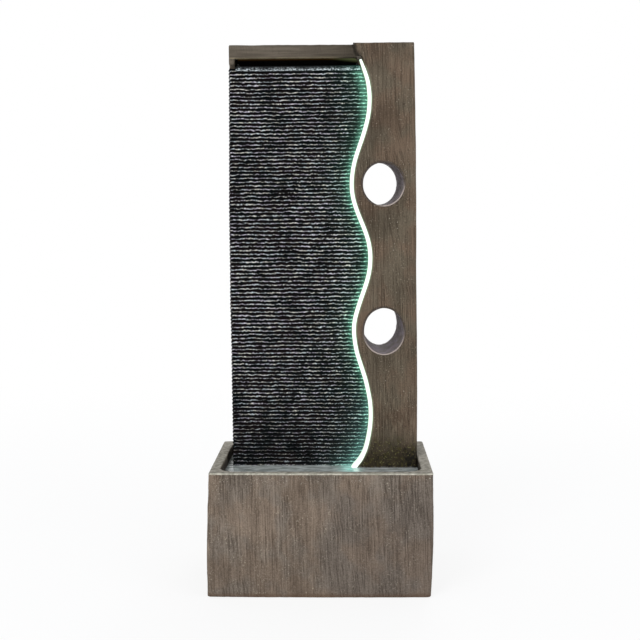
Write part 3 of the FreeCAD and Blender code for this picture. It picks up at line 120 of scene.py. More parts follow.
class Nodes:
    """The node tree of a material or of the world, to which nodes are added one by one."""

    def __init__(self, owner):
        owner.use_nodes = True
        self.tree = owner.node_tree

    def feed(self, made, key, value):
        """Sets one socket, by its number or its name, to a value or links another node to it."""
        socket = made.inputs[key] if isinstance(key, int) else next(
            s for s in made.inputs if s.name == key and s.enabled)
        if isinstance(value, Value):
            self.tree.links.new(value.socket, socket)
        else:
            socket.default_value = value

    def node(self, kind, settings=None, inputs=None, output=None):
        """Adds a node: its settings first, then the values or links of its sockets. Gives one output."""
        made = self.tree.nodes.new(kind)
        for key, setting in (settings or {}).items():
            setattr(made, key, setting)
        for key, value in (inputs or {}).items():
            self.feed(made, key, value)
        return Value(self, next((s for s in made.outputs if s.enabled and output in (None, s.name)), None))


class Finish(Nodes):
    """A material with one Principled shader, and nodes in Object coordinates that vary it over a piece."""

    def __init__(self, name, **constants):
        self.material = bpy.data.materials.new(name)
        super().__init__(self.material)
        self.shader = self.tree.nodes["Principled BSDF"]
        self.vary(**constants)
        self.place = self.node("ShaderNodeTexCoord", output="Object")

    def vary(self, **sockets):
        """Sets the shader's own sockets, to plain values or to nodes that vary over the piece."""
        for key, value in sockets.items():
            self.feed(self.shader, key.replace("_", " "), value)

    def noise(self, size, detail=2.0, rough=0.5, lean=0):
        """Noise whose blobs measure about size, one number or one for each axis, in metres, and lean
        sideways by so many degrees."""
        sizes = size if isinstance(size, tuple) else (size,) * 3
        spot = self.node("ShaderNodeMapping", {"vector_type": "TEXTURE"}, {
            "Vector": self.place, "Rotation": (0, math.radians(lean), 0), "Scale": sizes})
        inputs = {"Vector": spot, "Scale": 1, "Detail": detail, "Roughness": rough}
        return self.node("ShaderNodeTexNoise", {}, inputs, "Fac")

    def along(self, axis):
        """How far a point lies along X, Y or Z, in metres."""
        return self.node("ShaderNodeSeparateXYZ", {}, {"Vector": self.place}, axis)

    def painted(self, name):
        """A number worked out for each point of the mesh."""
        return self.node("ShaderNodeAttribute", {"attribute_name": name}, {}, "Fac")

    def step(self, value, low, high):
        """0 below low, 1 above high and an even turn between them."""
        inputs = {"Value": value, "From Min": low, "From Max": high}
        return self.node("ShaderNodeMapRange", {"interpolation_type": "SMOOTHSTEP"}, inputs)

    def patches(self, low, high, *noise):
        """0 or 1 over patches, with soft edges: where noise of that size, detail and so on lies below
        low or above high."""
        return self.step(self.noise(*noise), low, high)

    def mix(self, factor, first, second, kind="MIX"):
        """One colour laid over another."""
        inputs = {"Factor": factor, "A": first, "B": second}
        return self.node("ShaderNodeMix", {"data_type": "RGBA", "blend_type": kind}, inputs)

    def layered(self, colour, *layers):
        """A colour under layers, the last on top. Each is how far it covers, and its own colour."""
        for share, laid in layers:
            colour = self.mix(share, colour, laid)
        return colour

    def bump(self, height, depth):
        """Relief of that depth in metres."""
        return self.node("ShaderNodeBump", {}, {"Height": height, "Distance": depth, "Strength": 1.0})

    def on(self, *pieces):
        """Gives the finish to pieces, or to the solids of these names."""
        for piece in pieces:
            piece = nodes[piece] if isinstance(piece, str) else piece
            if not piece.material_slots:
                piece.data.materials.append(self.material)
            for slot in piece.material_slots:
                slot.material = self.material


def share_of_white(nodes, strength):
    """How far a surface is plain white: strength for rays from the camera, from gloss and through glass."""
    path = nodes.tree.nodes.new("ShaderNodeLightPath")
    seen = Value(nodes, path.outputs["Is Camera Ray"])
    for other in ("Is Glossy Ray", "Is Transmission Ray"):
        seen = seen.maths("MAXIMUM", seen, Value(nodes, path.outputs[other]))
    return seen * strength


far, fade_from, fade_to, least_white = 9, 0.4, 2.4, 0.84
floor_material = bpy.data.materials.new("white_floor")
floor_nodes = Nodes(floor_material)
floor_nodes.tree.nodes.clear()
middle = floor_nodes.node("ShaderNodeTexCoord", output="Object")
away = floor_nodes.node("ShaderNodeVectorMath", {"operation": "LENGTH"}, {0: middle}, "Value")
fade = floor_nodes.node("ShaderNodeMapRange", {"interpolation_type": "SMOOTHSTEP"}, {
    "Value": away, "From Min": fade_from, "From Max": fade_to, "To Min": least_white, "To Max": 1.0})
floor_nodes.node("ShaderNodeOutputMaterial", {}, {0: floor_nodes.node("ShaderNodeMixShader", {}, {
    0: share_of_white(floor_nodes, fade),
    1: floor_nodes.node("ShaderNodeBsdfDiffuse", {}, {"Color": (0.95, 0.95, 0.95, 1)}),
    2: floor_nodes.node("ShaderNodeEmission", {}, {"Color": (1, 1, 1, 1)})})})
floor_mesh = bpy.data.meshes.new("floor")
floor_mesh.from_pydata([(-far, -far, 0), (far, -far, 0), (far, far, 0), (-far, far, 0)], [], [(0, 1, 2, 3)])
floor_mesh.materials.append(floor_material)
floor = placed("floor", floor_mesh)

world = bpy.data.worlds.new("studio")
bpy.context.scene.world = world
room = Nodes(world)
room.tree.nodes.clear()
room.node("ShaderNodeOutputWorld", {}, {0: room.node("ShaderNodeMixShader", {}, {
    0: share_of_white(room, 1.0),
    1: room.node("ShaderNodeBackground", {}, {"Color": (0.95, 0.97, 1.0, 1), "Strength": 0.62}),
    2: room.node("ShaderNodeBackground", {}, {"Color": (1, 1, 1, 1)})})})

lamp_aim = Vector((0, 0, 0.45))
for name, spot, size, power in (
    ("key_lamp", (-1.6, -2.6, 2.7), 1.8, 46),
    ("side_lamp", (2.4, -1.9, 1.6), 2.0, 18),
    ("rear_lamp", (0.6, 2.6, 2.4), 2.0, 26),
):
    lamp_data = bpy.data.lights.new(name, "AREA")
    lamp_data.shape = "DISK"
    lamp_data.size = size
    lamp_data.energy = power
    lamp = placed(name, lamp_data)
    lamp.location = spot
    lamp.rotation_mode = "QUATERNION"
    lamp.rotation_quaternion = (lamp_aim - Vector(spot)).to_track_quat("-Z", "Y")
bpy.context.scene.view_settings.view_transform = "Standard"


# Basin
# An open tub cast in resin with stone powder: thick walls that bow and swell a little, a rounded
# uneven rim, and upright scratches brushed into its faces before it cured.
def noise(points, pitch, seed=0):
    """Smooth noise from -1 to 1: each whole cell of the given pitch hashes to a value at its corners,
    and a point blends its eight corners by 3t^2 - 2t^3 along each axis."""
    scaled = points / np.asarray(pitch)
    cells = np.floor(scaled)
    part = scaled - cells
    part = part * part * (3 - 2 * part)
    cells = cells.astype(np.int64)
    total = 0
    for corner in itertools.product((0, 1), repeat=3):
        near = cells + np.array(corner)
        mixed = near[..., 0] * 73856093 ^ near[..., 1] * 19349663
        mixed = mixed ^ near[..., 2] * 83492791 ^ seed * 2654435761
        mixed = (mixed ^ mixed >> 13) * 1274126177 & 0xFFFFFFFF
        mixed = (mixed ^ mixed >> 16) & 0xFFFF
        share = np.where(corner, part, 1 - part).prod(axis=-1)
        total = total + (mixed / 32767.5 - 1) * share
    return total


def piece_of(name, points, *faces):
    """A smooth-shaded piece from an array of points and arrays of faces."""
    mesh = bpy.data.meshes.new(name)
    mesh.from_pydata(points, [], [face for group in faces for face in group.tolist()])
    mesh.shade_smooth()
    return placed(name, mesh)


def skin(name, rings, middles=None):
    """A closed skin over rings of points that run counter-clockwise from above: each ring joins the
    next in quads, and the first and the last close onto middle points, their means by default."""
    rows, columns, _ = rings.shape
    middles = rings[[0, -1]].mean(axis=1) if middles is None else middles
    index = np.arange(rows * columns).reshape(rows, columns)
    after = np.roll(index, -1, axis=1)
    quads = np.stack([index[:-1], after[:-1], after[1:], index[1:]], axis=-1).reshape(-1, 4)
    first = np.stack([np.full(columns, rows * columns), after[0], index[0]], axis=-1)
    last = np.stack([np.full(columns, rows * columns + 1), index[-1], after[-1]], axis=-1)
    return piece_of(name, np.vstack([rings.reshape(-1, 3), middles]), quads, first, last)


def round_oblong(half_x, half_y, corner, bow, level, steps=(130, 88, 11)):
    """Rings of points round oblongs, one for each entry of the arrays: a side runs straight from corner
    to corner, bows out by 1 - t^2 at the front and back, and a quarter circle turns each corner."""
    long, deep, arc = steps
    run, rise, bend = (np.linspace(-1, 1, n, endpoint=False) for n in (long, deep, arc))
    one = np.ones
    across = np.concatenate([run, one(arc), one(deep), one(arc), -run, -one(arc), -one(deep), -one(arc)])
    up = np.concatenate([-one(long), -one(arc), rise, one(arc), one(long), one(arc), -rise, -one(arc)])
    curve = (bend + 1) / 2
    angle = np.concatenate([
        3 * one(long), curve + 3, 0 * one(deep), curve, one(long), curve + 1, 2 * one(deep), curve + 2])
    angle *= math.pi / 2
    half_x, half_y, corner, bow, level = (
        np.asarray(v, float).reshape(-1, 1) for v in np.broadcast_arrays(half_x, half_y, corner, bow, level))
    x = across * (half_x - corner) + corner * np.cos(angle)
    y = up * (half_y - corner) + (corner + bow * (1 - across**2)) * np.sin(angle)
    return np.stack([x, y, np.broadcast_to(level, x.shape)], axis=-1)


def arc_points(start, end, count):
    """Cosine and sine of evenly spread angles, given in degrees."""
    angles = np.radians(np.linspace(start, end, count))
    return np.cos(angles), np.sin(angles)


rim_level, underside, basin_floor = 0.206, 0.0006, 0.017
rim_half, cavity_half = (0.1846, 0.1238), (0.1685, 0.1085)
outer_corner, cavity_corner, front_bow = 0.005, 0.013, 0.0012
edge, lip = 0.0024, 0.0016
under_rows, side_rows, lip_rows, flat_rows, cavity_rows = 8, 91, 5, 4, 36

side_levels = np.linspace(underside + edge, rim_level - lip, side_rows + 1)[1:]
arc_cos, arc_sin = arc_points(-90, 0, 6)
lip_cos, lip_sin = arc_points(0, 90, lip_rows)
outer_inset = np.concatenate([
    (1 - np.linspace(0.03, 1, under_rows + 1)[:-1]) * 0.1, edge - edge * arc_cos, np.zeros(side_rows),
    lip - lip * lip_cos])
outer_level = np.concatenate([
    np.full(under_rows, underside), underside + edge + edge * arc_sin, side_levels,
    rim_level - lip + lip * lip_sin])
swell = np.interp(outer_level, (0.001, 0.04, 0.075, 0.11, 0.15, rim_level),
                  (-0.0002, 0.001, 0.0018, 0.0018, 0.001, 0))
reach = swell - outer_inset
outer = round_oblong(rim_half[0] + reach, rim_half[1] + reach, outer_corner + np.minimum(reach, 0) * 0.04,
                     front_bow, outer_level)
sideways = np.interp(outer_level, (0, 0.04, 0.075, 0.11, rim_level),
                     (-0.0027, -0.0018, -0.0009, -0.0003, 0.0011))
outer[..., 0] += sideways[:, None]

# The casting spreads a little towards its upper rear corners, and its front foot stands forward.
spread_left, spread_right, spread_back = -0.0038, 0.0015, 0.0030
rearward = np.clip((outer[..., 1] + 0.12) / 0.24, 0, 1) * np.clip((outer[..., 2] - 0.1) / 0.1, 0, 1)
on_sides = rearward * (np.abs(outer[..., 0]) > 0.17)
outer[..., 0] += np.where(outer[..., 0] < 0, spread_left, spread_right) * on_sides
outer[..., 1] += spread_back * rearward * (outer[..., 1] > 0.11)
forward = np.clip((rim_level - outer[..., 2]) / 0.2, 0, 1) * np.clip((-0.1 - outer[..., 1]) / 0.015, 0, 1)
outer[..., 1] -= forward * np.interp(outer[..., 0], (-0.18, 0, 0.18), (0.0029, 0.0026, 0.0012))

# No point leaves the depth of the real basin: past deepest - give, a point only creeps on.
deepest, give = 0.1274, 0.0014
from_middle = np.abs(outer[..., 1])
beyond = np.maximum(from_middle - (deepest - give), 0)
held_back = np.minimum(from_middle, deepest - give) + give * np.tanh(beyond / give)
outer[..., 1] = np.sign(outer[..., 1]) * held_back
wall = rim_half[0] - cavity_half[0]
rim_share = np.linspace(0, 1, flat_rows + 2)[1:-1]
inset = np.concatenate([
    lip + (wall - 2 * lip) * rim_share, wall - lip + lip * lip_sin, np.full(cavity_rows, wall)])
inner_level = np.concatenate([
    np.full(flat_rows, rim_level), rim_level - lip + lip * lip_cos,
    np.linspace(rim_level - lip, basin_floor, cavity_rows + 1)[1:]])


def cavity_rings(half_x, half_y, corner, level):
    """Rings round the cavity: its front corners are rounder than its rear ones."""
    rear = round_oblong(half_x, half_y, corner, 0, level)
    front = round_oblong(half_x, half_y, corner * 2.1, 0, level)
    return np.where(rear[..., 1:2] < 0, front, rear)


inner_corner = np.interp(inset, (lip, wall), (outer_corner, cavity_corner))
inner = cavity_rings(rim_half[0] - inset, rim_half[1] - inset, inner_corner, inner_level)
shrink = np.linspace(1, 0.04, 10)[1:]
bottom = cavity_rings(cavity_half[0] * shrink, cavity_half[1] * shrink, cavity_corner * shrink,
                      np.full(len(shrink), basin_floor))
rings = np.concatenate([outer, inner, bottom])
flat = rings.copy()
flat[..., 2] *= 0.35
dent = 0.00035 * noise(rings, 0.034, 1) + 0.0003 * noise(flat, 0.0085, 2)
dent += 0.0004 * np.maximum(noise(rings, 0.005, 3), 0.2)
push = np.minimum(dent - 0.0005, 0)
outward = np.zeros_like(rings)
outside = slice(under_rows, len(outer) - lip_rows + 1)
outward[outside] = np.sign(rings[outside]) * (np.abs(rings[outside]) > np.array([0.18, 0.12, np.inf]))
rings += outward * push[..., None]
top_rows = slice(len(outer) - lip_rows + 1, len(outer) + lip_rows + 1)
rings[top_rows, :, 2] -= 0.0006 * (1 + noise(rings[top_rows], 0.017, 4)) / 2
basin = skin("cast_basin", rings)


def turned_bar(name, centre, radius, start, end, sides=48):
    """A round bar along Y from start to end, as rings about its middle line."""
    angles = np.linspace(0, 2 * math.pi, sides, endpoint=False)
    ring = np.stack([
        centre[0] + radius * np.cos(angles), 0 * angles, centre[1] + radius * np.sin(angles)], axis=-1)
    return skin(name, np.stack([ring + (0, end, 0), ring + (0, start, 0)]))


def applied(piece):
    """Turns a piece's modifiers into its mesh."""
    ready = piece.evaluated_get(bpy.context.evaluated_depsgraph_get())
    piece.data = bpy.data.meshes.new_from_object(ready)
    piece.modifiers.clear()


def cut_by(piece, *cutters):
    """Cuts closed pieces out of a closed piece and removes them."""
    for cutter in cutters:
        boolean = piece.modifiers.new("cut", "BOOLEAN")
        boolean.object = cutter
        boolean.operation = "DIFFERENCE"
        boolean.solver = "MANIFOLD"
    applied(piece)
    for cutter in cutters:
        bpy.data.objects.remove(cutter)


drain_place, drain_radius, recess_radius = (0.12, 0.03), 0.0082, 0.0142
cut_by(basin, turned_bar("drain_hole", drain_place, drain_radius, 0.1, 0.14),
       turned_bar("drain_recess", drain_place, recess_radius, 0.118, 0.14))


def cast_resin(name, dark, light, warm, cool, cloudy, lean):
    """Resin with stone powder: fine upright scratches, dark and light, some of them leaning together,
    over soft warm and cool patches, with pale specks, chips and pits."""
    made = Finish(name, Specular_IOR_Level=0.2)
    hair = made.patches(0.30, 0.70, (0.0017, 0.0017, 0.032), 3, 0.65, 1.2)
    thread = made.patches(0.34, 0.66, (0.0022, 0.0022, 0.11), 3, 0.6, -1)
    dark_line = made.patches(0.595, 0.645, (0.0021, 0.0021, 0.075), 1, 0.5, -0.5)
    light_line = made.patches(0.600, 0.650, (0.0021, 0.0021, 0.060), 1, 0.5, -1.5)
    leaning = made.patches(0.50, 0.60, (0.05, 0.05, 0.07), 1)
    groove = made.patches(0.575, 0.635, (0.0023, 0.0023, 0.065), 1, 0.5, lean) * leaning
    cloud = made.noise((0.060, 0.060, 0.085), 3, 0.5)
    dusty = made.noise(0.0022, 3, 0.7)
    tone = (hair - 0.5) * 0.14 + (thread - 0.5) * 0.24 + (cloud - 0.5) * cloudy + (dusty - 0.5) * 1.1 + 0.50
    tone = tone - dark_line * 0.23 + light_line * 0.25 - groove * 0.24
    colour = made.mix(made.step(tone, 0.0, 1.0), dark, light)
    tint = made.mix(made.patches(0.40, 0.60, (0.05, 0.05, 0.06), 3), warm, cool)
    colour = made.mix(1.0, colour, tint, "MULTIPLY")
    clusters = made.patches(0.44, 0.60, (0.026, 0.026, 0.036), 2)
    speck = made.patches(0.665, 0.72, 0.0022, 1) * clusters
    chip = made.patches(0.735, 0.765, 0.0042, 2, 0.6)
    pit = made.patches(0.67, 0.74, (0.0026, 0.0026, 0.006), 2)
    colour = made.layered(colour, (speck * 0.75, paint(176, 166, 148)), (chip * 0.8, paint(168, 158, 142)),
                          (pit * 0.6, dark))
    relief = hair * 0.3 + thread * 0.2 - dark_line * 0.4 + light_line * 0.3
    relief = relief - groove * 0.6 - pit * 0.8 + speck * 0.4
    made.vary(Roughness=made.step(tone, 0.0, 1.0) * 0.15 + 0.68, Normal=made.bump(relief, 0.0006))
    return made, colour


resin, colour = cast_resin(
    "basin_resin", paint(86, 75, 65), paint(144, 131, 119), (1.04, 0.985, 0.92, 1), (0.97, 0.99, 0.99, 1),
    0.84, -8)
basin_x, basin_y, basin_z = (resin.along(axis) for axis in "XYZ")

# The front's right half is darker, from some way below the rim.
uneven = (resin.noise(0.05, 3) - 0.5) * 0.08
shade = resin.step(basin_x + uneven, -0.014, 0.026) * resin.step(basin_z + uneven, 0.196, 0.150)
shade = shade * 0.75 + resin.step(basin_x, 0.06, 0.17) * 0.35
darker = resin.mix(1.0, colour, (0.80, 0.80, 0.82, 1), "MULTIPLY")
colour = resin.mix(shade, colour, darker)

# Inside, the walls darker below the rim; below the rim outside, pale salt; on the rim, rubbed edges with
# painted light: a lighter top and a highlight along the front edge.
within = resin.step(abs(basin_x), 0.1702, 0.1693) * resin.step(abs(basin_y), 0.1102, 0.1093)
# Inside, the walls are darker below the rim.
darker_inside = resin.step(basin_z + (resin.noise(0.006, 3) - 0.5) * 0.016, 0.2035, 0.1985) * within
under_rim = resin.step(basin_z, rim_level - 0.030, rim_level - 0.002)
salt = resin.patches(0.66, 0.72, 0.0021, 1) * under_rim
salt = salt * resin.patches(0.44, 0.56, 0.02, 2)
# The rim's top is lighter, partly from wear and partly as painted light from above; along its front edge runs
# a painted highlight.
top = resin.step(basin_z, rim_level - 0.0028, rim_level - 0.0012)
smudged = resin.patches(0.34, 0.64, 0.008, 4, 0.7)
outer_line = resin.step(basin_y + (resin.noise(0.004, 2) - 0.5) * 0.004, -0.1192, -0.1222)
worn_and_lit_top = resin.mix(smudged, paint(122, 117, 107), paint(170, 165, 153))
edge_highlight = resin.mix(smudged, paint(168, 164, 148), paint(226, 222, 206))
# A painted shade along the foot, near the floor.
foot_shade = resin.step(basin_z, 0.010, 0.003)
resin.vary(Base_Color=resin.layered(
    colour, (darker_inside * 0.82, paint(34, 31, 27)), (salt * 0.9, paint(206, 202, 188)),
    (top, resin.mix(outer_line, worn_and_lit_top, edge_highlight)), (foot_shade * 0.5, paint(88, 62, 42))))
resin.on(basin)
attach(basin, "root")
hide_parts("basin")


# Feet and drain plug
# Four rubber pads let into the underside, and a rubber bung with a coin slot pressed into the
# drain in the rear wall. Moulded black rubber, matt, with a little dust. The pump's suction cups and
# its seal are of the same kind.
def black_rubber(name, tone, gloss):
    """Matt moulded rubber with fine grain and pale dust."""
    made = Finish(name, Specular_IOR_Level=0.3)
    dust = made.patches(0.45, 0.7, 0.012, 3)
    grain = made.noise(0.0008, 2)
    made.vary(Base_Color=made.mix(dust * 0.4, paint(*tone), paint(70, 68, 64)),
              Roughness=grain * 0.2 + gloss, Normal=made.bump(grain, 0.0001))
    return made


black_rubber("foot_rubber", (26, 26, 27), 0.62).on("basin_feet")
black_rubber("plug_rubber", (30, 29, 29), 0.5).on("drain_plug")
black_rubber("cup_rubber", (22, 23, 24), 0.35).on("suction_cups")
black_rubber("seal_rubber", (20, 20, 20), 0.4).on("volute_seal")


# Tower
# One hollow casting of the same resin, browner: walls, header, the column with its wavy edge and
# two window tubes. Its edges are worn, and its foot is wet and dark with algae.
wave_turns = np.array((0.960, 0.828, 0.683, 0.553, 0.4278, 0.285, 0.124))
wave_places = np.array((0.0547, 0.0868, 0.0547, 0.0868, 0.0583, 0.0868, 0.0583))
bend_levels = np.array((
    0.1853, 0.1889, 0.1933, 0.2004, 0.2066, 0.2146, 0.2252, 0.2385, 0.26, 0.29, 0.32, 0.345, 0.366, 0.387,
    0.41, 0.44, 0.465, 0.525, 0.545, 0.565, 0.585, 0.606, 0.63, 0.66, 0.70, 0.72, 0.76, 0.80, 0.823, 0.845,
    0.864, 0.9))
bend_places = 0.001 * np.array((
    -11.7, -9.6, -6.5, -3.4, -1.6, 0.2, 0.9, 0.7, 0.4, -0.3, -0.3, 0.8, 0.6, -0.1, -0.2,
    -0.7, 0.2, 0.1, -0.2, 0.2, 1.0, 1.05, 0.4, 0, 0.2, -0.2, 0.15, -0.4, -0.7, -0.1, 1.2, 1.3))


def hand_of_carver(level):
    """How far the line as carved strays sideways from the half cosines: the measured places, with
    straight lines between them, averaged over 12 mm."""
    near = np.linspace(-0.006, 0.006, 13)
    return np.interp(level[..., None] + near, bend_levels, bend_places).mean(axis=-1)


def wave(level, carved=True):
    """Where the wavy line stands at a height: half a cosine wave from each turn to the next."""
    level = np.asarray(level, float)
    held = np.clip(level, wave_turns[-1], wave_turns[0])
    after = np.clip(np.searchsorted(-wave_turns, -held), 1, len(wave_turns) - 1)
    above, below = wave_turns[after - 1], wave_turns[after]
    share = (1 - np.cos(math.pi * (above - held) / (above - below))) / 2
    line = wave_places[after - 1] * (1 - share) + wave_places[after] * share
    return line + hand_of_carver(level) * carved


def points_of(piece, kind="co"):
    """The points of a piece's mesh as an array, or with "normal" the way the skin faces at each."""
    flat = np.empty(len(piece.data.vertices) * 3)
    piece.data.vertices.foreach_get(kind, flat)
    return flat.reshape(-1, 3)


def closed_tube(name, path, inward, radius, sides=12):
    """A tube round a closed path: each path point carries a circle that lies across the path, spanned
    by the inward direction there and by Y."""
    angles = np.linspace(0, 2 * math.pi, sides, endpoint=False)
    circle = np.cos(angles)[:, None] * inward[:, None] + np.sin(angles)[:, None] * np.array([0, 1, 0])
    rings = path[:, None] + radius * circle
    index = np.arange(len(path) * sides).reshape(len(path), sides)
    beyond = np.roll(index, -1, axis=0)
    quads = np.stack([index, beyond, np.roll(beyond, -1, axis=1), np.roll(index, -1, axis=1)], -1)
    return piece_of(name, rings.reshape(-1, 3), quads.reshape(-1, 4))


def oval_tube(name, centre, half_wide, half_tall, radius, pitch, seed):
    """A tube round an upright oval, which strays in and out by smooth noise of that pitch."""
    angles = np.linspace(0, 2 * math.pi, 240, endpoint=False)
    away = np.stack([np.cos(angles), 0 * angles, np.sin(angles)], axis=-1)
    path = centre + (half_wide, 1, half_tall) * away
    path += 0.0003 * noise(path, pitch, seed)[:, None] * away
    return closed_tube(name, path, away, radius)


def give_number(piece, name, numbers):
    """Keeps one number for each point of the mesh, for the finish to read."""
    kept = piece.data.attributes.new(name, "FLOAT", "POINT")
    kept.data.foreach_set("value", np.asarray(numbers, np.float32))


# The casting itself: a voxel skin over the construction, worn at random, with its sides and its wavy
# edge where the real ones lean and bend, and its top edge sagging.
tower = placed("cast_tower", nodes["tower_shell"].data.copy())
weld = tower.modifiers.new("weld", "WELD")
weld.merge_threshold = 0.00001
remesh = tower.modifiers.new("remesh", "REMESH")
remesh.mode = "VOXEL"
remesh.voxel_size = 0.0024
applied(tower)
points, tower_normals = points_of(tower), points_of(tower, "normal")
tower_middle, tower_triangles = 0.0035, 190000
stretched = points * (1, 1, 0.4)
depth = 0.0004 * (noise(points, 0.03, 11) - 1) / 2 + 0.0005 * (noise(stretched, 0.008, 12) - 1) / 2
outer_face = (points[:, 1] < 0.025) | (points[:, 2] > 0.925)
outer_face |= np.abs(points[:, 0] - tower_middle) > 0.16
points += tower_normals * (depth * outer_face)[:, None]
lean_levels = (0, 0.25, 0.335, 0.405, 0.475, 0.545, 0.64, 0.755, 0.863, 0.92)
left_lean = (0, 0.0002, 0.0010, 0.0013, 0.0025, 0.0024, 0.0028, 0.0016, 0.0009, 0.0012)
right_lean = (0.0015, 0.0030, 0.0033, 0.0029, 0.0023, 0.0016, 0.0019, 0.0011, -0.0006, -0.0015)
tower_x, tower_z = points[:, 0].copy(), points[:, 2].copy()
on_left, on_right = np.clip((-0.1535 - tower_x) / 0.003, 0, 1), np.clip((tower_x - 0.1595) / 0.004, 0, 1)
points[:, 0] -= np.interp(tower_z, lean_levels, left_lean) * on_left
points[:, 0] += np.interp(tower_z, lean_levels, right_lean) * on_right
from_line = np.abs(tower_x - wave(tower_z, carved=False))
by_line = np.clip((0.0140 - from_line) / 0.0085, 0, 1) * (points[:, 1] < 0.0195)
points[:, 0] += hand_of_carver(tower_z) * by_line
on_column = np.clip((tower_x - wave(tower_z) + 0.004) / 0.002, 0, 1)
column_sag = 0.0015 + 0.0002 * noise(points, 0.04, 13)
header_sag = np.interp(tower_x, (-0.158, 0.06), (0, 0.0008)) + 0.0003 * noise(points, 0.03, 14)
sag = np.where(on_column > 0.5, column_sag, header_sag)
points[:, 2] -= sag * np.clip((tower_z - 0.915) / 0.01, 0, 1)
tower_low, tower_high = (np.array(corner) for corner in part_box("tower_shell"))
points[:, 2] = np.clip(points[:, 2], tower_low[2], tower_high[2])
tower.data.vertices.foreach_set("co", points.ravel())
thin = tower.modifiers.new("thin", "DECIMATE")
thin.ratio = min(1, tower_triangles / sum(len(p.vertices) - 2 for p in tower.data.polygons))
applied(tower)
tower.data.shade_smooth()

# Numbers for the finish: the lamp's light beside the line, the joint of header and column for a painted
# shade, the smooth header, and the hollow inside, dark as damp resin and as painted shade.
points = points_of(tower)
tower_x, tower_y, tower_z = points.T
aside = tower_x - wave(tower_z)
front = (tower_y < 0.03) & (tower_z > 0.15)
beside = np.exp(-np.maximum(np.abs(aside) - 0.004, 0) / 0.0009)
give_number(tower, "glow", np.where(front & (tower_z < 0.885), beside, 0))
ragged_joint_shade = np.abs(aside + 0.0012 * noise(points, 0.006, 15) + 0.0025)
give_number(tower, "joint", front * (tower_z > 0.9015) * np.clip(1.5 - ragged_joint_shade / 0.0036, 0, 1))
give_number(tower, "header", front * (tower_z > 0.888) * (aside < -0.0035))
give_number(tower, "hollow", (tower_y > 0.0275) & (tower_y < 0.1005) & (tower_z < 0.9215) & (
    np.abs(tower_x - tower_middle) < 0.157))

resin, colour = cast_resin(
    "tower_resin", paint(65, 55, 44), paint(114, 101, 87), (1.06, 0.965, 0.90, 1), (0.96, 1.0, 0.96, 1),
    1.15, -13)
tower_across, tower_back, height = (resin.along(axis) for axis in "XYZ")
ragged = height + (resin.noise(0.03, 3) - 0.5) * 0.05

# Up from the water: a pale tide line, painted shade in the right corner, crumbs, rot, algae and wet
# resin, and above them light scrapes.
scraped = resin.patches(0.57, 0.65, (0.0024, 0.0024, 0.020), 2, 0.55, 2)
scraped = scraped * resin.step(height, 0.206, 0.235) * resin.step(ragged, 0.345, 0.295)
wet = resin.step(ragged, 0.262, 0.205)
algae = resin.patches(0.50, 0.62, (0.006, 0.006, 0.008), 4, 0.65) * wet
rot = resin.patches(0.55, 0.63, (0.005, 0.005, 0.007), 3, 0.65)
rot = rot * resin.step(ragged, 0.245, 0.212)
crumbs = resin.patches(0.61, 0.68, 0.0030, 2) * resin.step(ragged, 0.25, 0.22)
# Painted shade low in the right corner, by the water.
corner_shade = resin.patches(0.44, 0.54, 0.0042, 3, 0.6)
corner_shade = corner_shade * resin.step(ragged, 0.222, 0.205) * resin.step(tower_across, 0.128, 0.158)
tide = resin.step(height + (resin.noise(0.004, 2) - 0.5) * 0.005, 0.1892, 0.1880)
colour = resin.layered(
    colour, (scraped * 0.45, paint(133, 120, 101)), (wet * 0.84, paint(41, 36, 21)),
    (algae * 0.75, paint(74, 68, 36)), (rot * 0.75, paint(19, 17, 10)), (crumbs * 0.7, paint(122, 118, 78)),
    (corner_shade * 0.85, paint(16, 15, 12)), (tide * 0.75, paint(134, 134, 132)))

# The header is brushed smooth along its length, with a painted highlight along its lower lip above the slot.
brushed = resin.noise((0.09, 0.02, 0.0045), 3, 0.6)
smooth_face = resin.mix(resin.step(brushed, 0.3, 0.7), paint(80, 72, 62), paint(107, 98, 86))
darker_end = resin.step(tower_across, -0.07, 0.065)
dark_face = resin.mix(1.0, smooth_face, (0.70, 0.69, 0.67, 1), "MULTIPLY")
smooth_face = resin.mix(darker_end, smooth_face, dark_face)
on_header = resin.painted("header")
# A painted highlight along the header's lower lip, above the slot.
header_lip_highlight = resin.step(height, 0.9028, 0.9034) * resin.step(height, 0.9052, 0.9042) * on_header
header_lip_highlight = header_lip_highlight * resin.step(tower_across, 0.045, 0.02) * resin.noise(0.02, 2)
# The joint gets a painted shade, and the hollow inside is dark as damp resin and as painted shade.
colour = resin.layered(
    colour, (on_header, smooth_face), (resin.painted("joint") * 0.8, paint(36, 32, 25)),
    (header_lip_highlight, paint(170, 158, 128)), (resin.painted("hollow"), paint(24, 22, 19)))

